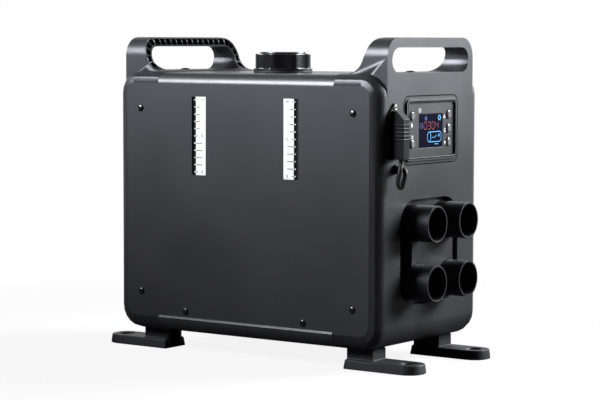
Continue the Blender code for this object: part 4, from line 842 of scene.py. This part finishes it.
@dataclass
class Filler:
    """The filler cap and its seal, and the tank under them."""

    shop: Workshop
    rim: float = 0.0350
    rim_tall: float = 0.0018
    rim_edge: float = 0.0004
    grip: float = 0.0342
    tall: float = 0.0192
    crown: float = 0.0270
    crown_rise: float = 0.0022
    chamfer: float = 0.0008
    chamfer_knee: float = 0.3
    bore: float = 0.0256
    bore_tall: float = 0.0165
    facets: int = 144
    scoops: int = 8
    scoop_turn: float = -8.3
    scoop_half: float = 17.5
    scoop_deep: float = 0.0030
    smooth: float = 24.0
    seal_edge: float = 0.0004

    def build(self) -> None:
        """Dress the cap, the seal and the tank."""
        self.cap()
        self.shop.soften("cap_seal", RUBBER, self.seal_edge, Body.SEAL.value)
        self.shop.coat("fuel_tank", TANK)

    def rounded(self, height: float, radius: float) -> list[Flat]:
        """The edge of the profile that this height and radius would meet in, rounded."""
        edge, knee = self.chamfer, self.chamfer * self.chamfer_knee
        return [(height - edge, radius), (height - knee, radius - knee),
                (height, radius - edge)]

    def cap(self) -> None:
        """Turn the cap and press its finger scoops in."""
        low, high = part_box("fuel_cap")
        base = Vector(((low.x + high.x) / 2, (low.y + high.y) / 2, low.z))
        edge, foot, head = self.chamfer, self.rim_tall, self.tall + self.crown_rise
        profile = [
            (self.bore_tall, 0.0), (self.bore_tall, self.bore), (0.0, self.bore),
            (0.0, self.rim), (foot - self.rim_edge, self.rim),
            (foot, self.rim - self.rim_edge), (foot, self.grip), (foot + edge, self.grip),
            (foot + 2 * edge, self.grip), *self.rounded(self.tall, self.grip),
            (self.tall, self.crown), *self.rounded(head, self.crown), (head, 0.0)]
        bm = turned(profile, Vector((0, 0, 1)), base, self.facets)
        pitch, half = math.tau / self.scoops, math.radians(self.scoop_half)
        for vert in bm.verts:
            out = Vector((vert.co.x - base.x, vert.co.y - base.y))
            if out.length < self.crown + edge or vert.co.z - base.z < foot + edge / 2:
                continue
            turn = math.atan2(out.y, out.x) - math.radians(self.scoop_turn)
            off = abs((turn + pitch / 2) % pitch - pitch / 2)
            if off < half:
                out *= 1 - self.scoop_deep * (1 - (off / half) ** 2) / out.length
                vert.co.x, vert.co.y = base.x + out.x, base.y + out.y
        self.shop.piece(
            "fuel_cap_finished", bm, GLOSS, ("fuel_cap",), Body.CAP.value, self.smooth)


@dataclass
class Controller:
    """Frame, fascia, keys with their printed symbols, and the lit display."""

    shop: Workshop
    keys: tuple[str, ...] = ("power", "mode", "up", "set", "down")
    frame_edge: float = 0.0006
    fascia_edge: float = 0.0003
    key_edge: float = 0.0005
    key_angle: float = 25.0
    key_smooth: float = 60.0
    wall: float = 0.1890
    shadow_gap_thick: float = 0.0002
    shadow_gap_spare: float = 0.0001
    shadow_gap_wide: float = 0.0011
    groove_shade_wide: float = 0.0009
    band: float = 0.0059
    corner: float = 0.009
    corner_least: float = 0.002
    well_shade_inset: float = 0.0008
    well_shade_shift: float = 0.0011
    well_shade_reach: float = 0.0006
    well_shade_tall: float = 7 / 6
    power_mark: Flat = (-0.0234, 0.2926)
    flame_mark: Flat = (-0.0400, 0.2762)
    fan_mark: Flat = (-0.0392, 0.2626)
    up_mark: Flat = (0.0291, 0.2848)
    set_mark: Flat = (0.0307, 0.2687)
    down_mark: Flat = (0.0309, 0.2536)
    fan_reach: float = 0.0024
    arrow_half: float = 0.0022
    lit_thick: float = 0.00005
    segment: float = 0.0008
    segment_trim: float = 0.0006

    def build(self) -> None:
        """Dress the controller."""
        self.shop.soften("controller_frame", CASE_PLASTIC, self.frame_edge)
        self.shop.soften("controller_fascia", CASE_PLASTIC, self.fascia_edge)
        self.shop.coat("display", GLASS)
        self.shop.coat("controller_board", BOARD)
        for key in self.keys:
            self.shop.soften("button_" + key, KEY, self.key_edge, "key_" + key,
                             self.key_angle, self.key_smooth)
        self.lines()
        self.symbols()
        self.picture()

    def lines(self) -> None:
        """Lay painted shade: a dark line in the gap round the frame, a dark ring for a groove in
        its band, and a dark sickle in each key's well.
        """
        low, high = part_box("controller_frame")
        # Painted shadow: a dull black line on the shell round the frame stands for the shade in
        # the gap between them.
        shadow_gap = Printer(Facing.RIGHT, self.wall, self.shadow_gap_thick)
        self.loop(
            shadow_gap, low, high, self.shadow_gap_wide / 2 + self.shadow_gap_spare, self.shadow_gap_wide)
        self.shop.piece("frame_painted_shadow_gap", shadow_gap.bm, PAINTED_SHADE)
        # Painted shade: a dull black ring on the frame's band stands for the shade of a groove,
        # with no groove cut.
        groove_shade = Printer(Facing.RIGHT, high.x)
        self.loop(groove_shade, low, high, -self.band, self.groove_shade_wide)
        self.shop.piece("frame_painted_groove_shade", groove_shade.bm, PAINTED_SHADE)
        # Painted shade: a dull black sickle beside each key stands for the shade inside its
        # well.
        well_shades = Printer(Facing.RIGHT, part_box("controller_fascia")[1].x)
        for key in self.keys:
            start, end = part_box("button_" + key)
            self.well_shade(well_shades, (start + end) / 2, (end.y - start.y) / 2 - self.well_shade_inset)
        self.shop.piece("key_well_painted_shade", well_shades.bm, PAINTED_SHADE)

    def loop(self, printer: Printer, low: Vector, high: Vector, spare: float,
             width: float) -> None:
        """Add a rounded loop that follows a box's outline.

        Args:
            printer: the face that it lies on.
            low: the box's lowest corner.
            high: its highest corner.
            spare: how far outside the outline its middle runs.
            width: its width.
        """
        turn = max(self.corner + spare, self.corner_least)
        rims = ([], [])
        for quarter, (y, z, across, up) in enumerate((
                (high.y, high.z, 1, 1), (low.y, high.z, -1, 1), (low.y, low.z, -1, -1),
                (high.y, low.z, 1, -1))):
            centre = (y + across * (spare - turn), z + up * (spare - turn))
            for step in range(6):
                angle = math.radians(90 * quarter + 18 * step)
                for rim, off in zip(rims, (-width / 2, width / 2)):
                    rim.append(polar(centre, turn + off, angle))
        printer.band(*rims, closed=True)

    def well_shade(self, printer: Printer, centre: Vector, radius: float) -> None:
        """Add the painted shade of a key's well: a dark sickle, deepest away from the light.

        Args:
            printer: the fascia's face.
            centre: the key's middle.
            radius: the key's hole.
        """
        inner, outer = [], []
        for step in range(17):
            angle = math.radians(95 + 170 * step / 16)
            a, b = math.cos(angle), math.sin(angle) * self.well_shade_tall
            inner.append((centre.y + radius * a, centre.z + radius * b))
            wide = radius - self.well_shade_reach * a
            outer.append((centre.y + (self.well_shade_shift + wide) * a, centre.z + wide * b))
        printer.band(inner, outer, closed=False)

    def symbols(self) -> None:
        """Print the white symbols beside the keys."""
        printer = Printer(Facing.RIGHT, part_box("controller_fascia")[1].x)
        printer.bar(self.power_mark, (self.power_mark[0], self.power_mark[1] + 0.0028), 0.0011)
        printer.ring(self.power_mark, 0.0021, 0.0009, 120, 300)
        printer.slab([(self.flame_mark[0] + across, self.flame_mark[1] + up) for across, up in (
            (-0.0017, -0.0012), (0.0, -0.0028), (0.0017, -0.0012), (0.0014, 0.0010),
            (0.0, 0.0031), (-0.0014, 0.0010))])
        for turn in (45, 135):
            printer.ray(self.fan_mark, turn, -self.fan_reach, self.fan_reach, 0.0014)
        half = self.arrow_half
        for (y, z), way in ((self.up_mark, 1), (self.down_mark, -1)):
            corners = [
                (y - half, z - way * half), (y + half, z - way * half), (y, z + way * half)]
            printer.slab(corners[::way])
        printer.ring(self.set_mark, 0.0018, 0.0011)
        self.shop.piece("key_symbols", printer.bm, WHITE)

    def picture(self) -> None:
        """Light the display: icons, four digits and the outline of a heater."""
        low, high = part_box("display")
        blue, cyan, red = (Printer(Facing.RIGHT, high.x, self.lit_thick) for _ in range(3))
        wide, tall = high.y - low.y, high.z - low.z

        def at(across: float, up: float) -> Flat:
            """A point of the display from its lower left corner, as shares of its size."""
            return low.y + across * wide, low.z + up * tall

        for turn in range(0, 180, 45):
            blue.ray(at(0.30, 0.87), turn, -0.0028, 0.0028, 0.0009)
        blue.ring(at(0.11, 0.66), 0.0030, 0.0008)
        blue.bar(at(0.10, 0.66), at(0.16, 0.66), 0.0007)
        self.shop.piece("display_blue", blue.bm, BLUE)
        cyan.ring(at(0.88, 0.88), 0.0022, 0.0011)
        for turn in range(0, 360, 60):
            cyan.ray(at(0.88, 0.88), turn, 0.0026, 0.0036, 0.0010)
        self.heater_outline(cyan, at)
        self.shop.piece("display_picture", cyan.bm, CYAN)
        for index, digit in enumerate("0304"):
            self.digit(red, digit, at(0.22 + 0.165 * index, 0.545), 0.0056, 0.0082)
        self.shop.piece("display_digits", red.bm, RED)

    def digit(self, printer: Printer, digit: str, corner: Flat, wide: float,
              tall: float) -> None:
        """Add one seven segment digit at its lower left corner."""
        lit = {"0": "abcdef", "3": "abgcd", "4": "fgbc"}[digit]
        left, low = corner
        right, high, middle, trim = left + wide, low + tall, low + tall / 2, self.segment_trim
        lines = {
            "a": ((left + trim, high), (right - trim, high)),
            "b": ((right, high - trim), (right, middle + trim)),
            "c": ((right, middle - trim), (right, low + trim)),
            "d": ((left + trim, low), (right - trim, low)),
            "e": ((left, middle - trim), (left, low + trim)),
            "f": ((left, high - trim), (left, middle + trim)),
            "g": ((left + trim, middle), (right - trim, middle)),
        }
        for segment in lit:
            printer.bar(*lines[segment], self.segment)

    @staticmethod
    def heater_outline(printer: Printer, at: Callable[[float, float], Flat]) -> None:
        """Add the outline of a heater lying on its side, with its flame."""
        line, steps = 0.0009, 16
        left, right, low, high = 0.44, 0.95, 0.16, 0.46
        near, top, foot = right - 0.05, high - 0.06, low + 0.06
        for start, end in (((left, high), (near, high)), ((left, low), (near, low)),
                           ((right, top), (right, foot)), ((near, high), (right, top)),
                           ((near, low), (right, foot))):
            printer.bar(at(*start), at(*end), line)
        points = []
        for index in range(steps):
            angle = math.tau * index / steps
            points.append(at(left + 0.075 * math.cos(angle),
                             (low + high) / 2 + (high - low) / 2 * math.sin(angle)))
        for index in range(steps):
            printer.bar(points[index], points[(index + 1) % steps], line)
        printer.bar(at(0.56, 0.29), at(0.68, 0.29), line * 0.8)
        printer.bar(at(0.68, 0.29), at(0.76, 0.36), line * 0.8)
        printer.ring(at(0.86, 0.35), 0.0012, 0.0010)
        printer.bar(at(0.68, 0.09), at(0.82, 0.09), line)


@dataclass
class Power:
    """Socket, plug, gland and the short cable between them."""

    shop: Workshop
    radius: float = 0.0026
    plug: Point = (0.20006, -0.0793, 0.2397)
    gland: Point = (0.189, -0.0753, 0.2283)
    gland_reach: float = 0.0085
    grip: float = 0.0003
    loop_low: float = 0.2084
    length: float = 0.065
    ear: Point = (0.1913, -0.0783, 0.2976)
    edges: tuple[tuple[str, float], ...] = (
        ("socket_flange", 0.0004), ("plug_hood", 0.0005), ("cable_gland", 0.0003))

    def build(self) -> None:
        """Dress the connector."""
        self.cable()
        for node, edge in self.edges:
            self.shop.soften(node, PLUG, edge)
        axis, ear = Vector((1, 0, 0)), Vector(self.ear)
        ring = turned([(0.0, 0.0020), (0.0, 0.0033), (0.0006, 0.0033), (0.0010, 0.0030),
                       (0.0010, 0.0023), (0.0006, 0.0020), (0.0, 0.0020)], axis, ear, 32)
        self.shop.piece("ear_eyelet", ring, STEEL)
        dome = turned([(0.0, 0.0), (0.0, 0.0019), (0.0005, 0.0018), (0.0009, 0.0013),
                       (0.0011, 0.0)], axis, ear, 24)
        self.shop.piece("ear_screw", dome, SCREW)

    def cable(self) -> None:
        """Run the cable out of the plug, down in its loop and up into the gland."""
        r = self.radius
        x, y, top = self.plug
        wall, across, up = self.gland
        legs = (((x, y, up), ((0.2, -1, 0), (-0.4, -1.3, -3.2))),
                ((x, y, self.loop_low), (
                    (-0.6, -1.3, 2.2), (-0.4, -1, 0.7), (0.1, -0.35, 0), (0.6, 0.3, 0.7),
                    (0.9, 0.6, 2.2))),
                ((x, across, up), ((1.3, -0.4, -3.2), (1.25, -0.15, -1.2), (0.6, 0, -0.15))))
        points = [(x, y, top), (x, y, top + self.grip - 2 * r)]
        points += [[a + b * r for a, b in zip(start, steps)]
                   for start, leg in legs for steps in leg]
        points += [(wall + self.gland_reach + r / 2, across, up), (wall + r, across, up)]
        curve = bpy.data.curves.new("cable", "CURVE")
        curve.dimensions = "3D"
        curve.bevel_depth = r
        curve.bevel_resolution = 5
        curve.resolution_u = 10
        curve.use_fill_caps = True
        spline = curve.splines.new("BEZIER")
        spline.bezier_points.add(len(points) - 1)
        for knot, place in zip(spline.bezier_points, points):
            knot.co = place
            knot.handle_left_type = knot.handle_right_type = "AUTO"
        curve.materials.append(self.shop.material(SHEATH))
        made = placed("cable", curve)
        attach(made, Body.CASE.value)
        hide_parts("cable_loop")
        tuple(self.plug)
        log.info("cable: %.0f mm in %s", self.length * 1000, SHEATH.title)


@dataclass
class Outlets:
    """The manifold with its four tubes and the trim between them."""

    shop: Workshop
    manifold_edge: float = 0.0005
    trim_edge: float = 0.0006

    def build(self) -> None:
        """Dress the outlets."""
        self.shop.soften("outlet_manifold", BLACK, self.manifold_edge)
        self.shop.soften("outlet_trim", CASE_PLASTIC, self.trim_edge)


@dataclass
class Heater:
    """Duct, exchanger, burner, blower, pumps and pipes inside and under the case."""

    shop: Workshop
    finishes: dict[str, Finish] = field(default_factory=lambda: {
        "heater_case": BLACK, "heat_exchanger": CAST, "burner": STEEL, "glow_plug": STEEL,
        "blower_motor": STEEL, "blower_fan": BLACK, "combustion_wheel": BLACK,
        "exhaust_pipe": STEEL, "combustion_air_pipe": BLACK, "fuel_pump": STEEL,
        "suction_line": RUBBER, "feed_line": RUBBER, "control_unit": BLACK,
    })

    def build(self) -> None:
        """Give each solid its finish."""
        for node, finish in self.finishes.items():
            self.shop.coat(node, finish)


# ---- studio


@dataclass(frozen=True)
class Lamp:
    """A soft rectangular lamp.

    Attributes:
        name: plain name.
        place: where it hangs.
        target: what it looks at.
        size: its width and height.
        power: watts.
        spread: the whole angle of its beam in degrees.
        colour: colour of its light.
    """

    name: str
    place: Point
    target: Point
    size: Flat
    power: float
    spread: float = 180.0
    colour: Colour = (0.97, 0.985, 1.0)

    def build(self) -> None:
        """Hang the lamp."""
        data = bpy.data.lights.new(self.name, "AREA")
        data.spread = math.radians(self.spread)
        data.shape = "RECTANGLE"
        data.size, data.size_y = self.size
        data.energy = self.power
        data.color = self.colour
        made = placed(self.name, data)
        made.location = self.place
        look = Vector(self.target) - Vector(self.place)
        made.rotation_euler = look.to_track_quat("-Z", "Y").to_euler()


LAMPS = (
    Lamp("front softbox", (-0.75, -1.15, 1.10), (-0.07, 0.0, 0.63), (1.0, 0.70), 9.0, 50.0),
    Lamp("side softbox", (0.85, 0.92, 0.82), (0.20, 0.0, 0.30), (1.0, 0.75), 9.9, 62.0),
    Lamp("top softbox", (-0.25, -0.10, 1.45), (0.0, 0.0, 0.3), (1.1, 0.9), 0.8),
)


@dataclass
class Studio:
    """Camera, floor, backdrop and lamps."""

    camera_place: Point = (1.4566, -2.0207, 0.3715)
    camera_target: Point = (0.00334, 0.0024, 0.18068)
    camera_roll: float = 0.13
    lens: float = 125.1
    floor_half: float = 6.0
    floor_lit: float = 0.045
    floor_seen: float = 0.92
    floor_rough: float = 0.7
    floor_specular: float = 0.1
    floor_reach: Flat = (0.3, 1.2)
    world_reach: Flat = (0.55, 0.9)
    shadow_start: float = 0.25
    shadow_reach: float = 0.9
    shadow_share: float = 0.12
    fill: float = 0.035
    backdrop: Point = (-0.583, 0.812, 0.0)

    def build(self) -> None:
        """Set up the studio."""
        self.camera()
        self.floor()
        self.world()
        for lamp in LAMPS:
            lamp.build()
        bpy.context.scene.view_settings.view_transform = "Standard"

    def camera(self) -> None:
        """Create the camera at the photograph's angle."""
        data = bpy.data.cameras.new("camera")
        data.lens = self.lens
        data.sensor_width = 36.0
        data.clip_end = 50.0
        made = placed("camera", data)
        made.location = self.camera_place
        look = Vector(self.camera_target) - Vector(self.camera_place)
        level = look.to_track_quat("-Z", "Y").to_matrix()
        roll = Matrix.Rotation(math.radians(self.camera_roll), 3, "Z")
        made.rotation_euler = (level @ roll).to_euler()
        bpy.context.scene.camera = made

    def floor(self) -> None:
        """Lay a pale floor that keeps the object's shadow and is white further off."""
        bm = bmesh.new()
        bmesh.ops.create_grid(bm, x_segments=8, y_segments=8, size=self.floor_half)
        mesh = bpy.data.meshes.new("floor")
        bm.to_mesh(mesh)
        bm.free()
        made = placed("floor", mesh)
        material = bpy.data.materials.new("pale floor")
        material.use_nodes = True
        tree = material.node_tree
        place = added(tree, "TexCoord").outputs["Object"]
        white, camera = self.seen(tree, place, self.floor_reach)
        pale = added(tree, "Mix", {
            "Factor": camera, "A": (*[self.floor_lit] * 3, 1),
            "B": (*[self.floor_seen] * 3, 1)}, data_type="RGBA")
        far = added(tree, "VectorMath", {0: place}, operation="LENGTH")
        fade = added(tree, "MapRange", {
            "Value": far.outputs["Value"], "From Min": self.shadow_start,
            "From Max": self.shadow_reach, "To Min": 1 - self.shadow_share, "To Max": 1.0})
        share = added(tree, "Math", {0: fade, 1: white}, operation="MULTIPLY")
        shader = tree.nodes["Principled BSDF"]
        feed(tree, shader, {
            "Base Color": pale.outputs["Result"], "Roughness": self.floor_rough,
            "Specular IOR Level": self.floor_specular})
        glow = added(tree, "Emission", {"Color": FULL_LIGHT})
        mix = added(tree, "MixShader", {"Fac": share, 1: shader, 2: glow})
        feed(tree, tree.nodes["Material Output"], {"Surface": mix})
        mesh.materials.append(material)

    def seen(self, tree: Tree, place: Socket, reach: Flat) -> tuple[Socket, Socket]:
        """How white a ray finds the backdrop.

        Args:
            tree: the nodes of the floor or the world.
            place: where the ray lands, or its direction.
            reach: how far towards the backdrop a gloss starts to see it and sees all of it.

        Returns:
            One for a ray from the camera or through glass, and for a gloss the part of the
            backdrop that it meets; and one for a ray from the camera alone.
        """
        rays = added(tree, "LightPath").outputs
        towards = added(
            tree, "VectorMath", {0: place, 1: self.backdrop}, operation="DOT_PRODUCT")
        part = added(tree, "MapRange", {
            "Value": towards.outputs["Value"], "From Min": reach[0],
            "From Max": reach[1]}, interpolation_type="SMOOTHSTEP")
        gloss = added(tree, "Math", {0: part, 1: rays["Is Glossy Ray"]}, operation="MULTIPLY")
        direct = added(tree, "Math", {
            0: rays["Is Camera Ray"], 1: rays["Is Transmission Ray"]}, operation="MAXIMUM")
        either = added(tree, "Math", {0: direct, 1: gloss}, operation="MAXIMUM")
        return either.outputs[0], rays["Is Camera Ray"]

    def world(self) -> None:
        """White for what is seen directly, a plain grey for what lights the object."""
        world = bpy.data.worlds.new("studio")
        world.use_nodes = True
        bpy.context.scene.world = world
        tree = world.node_tree
        fill = tree.nodes["Background"]
        feed(tree, fill, {"Color": FULL_LIGHT, "Strength": self.fill})
        white = added(tree, "Background", {"Color": FULL_LIGHT, "Strength": 1.0})
        place = added(tree, "TexCoord").outputs["Generated"]
        sees = self.seen(tree, place, self.world_reach)[0]
        mix = added(tree, "MixShader", {"Fac": sees, 1: fill, 2: white})
        feed(tree, tree.nodes["World Output"], {"Surface": mix})


def main() -> None:
    """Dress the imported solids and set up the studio."""
    logging.basicConfig(level=logging.INFO, format="%(name)s %(message)s", stream=sys.stdout)
    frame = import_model()
    shop = Workshop(frame, Effects())
    Studio().build()
    for part in (Power, Case, Screws, Gauges, Filler, Controller, Outlets, Heater):
        part(shop).build()


if __name__ == "__main__":
    main()
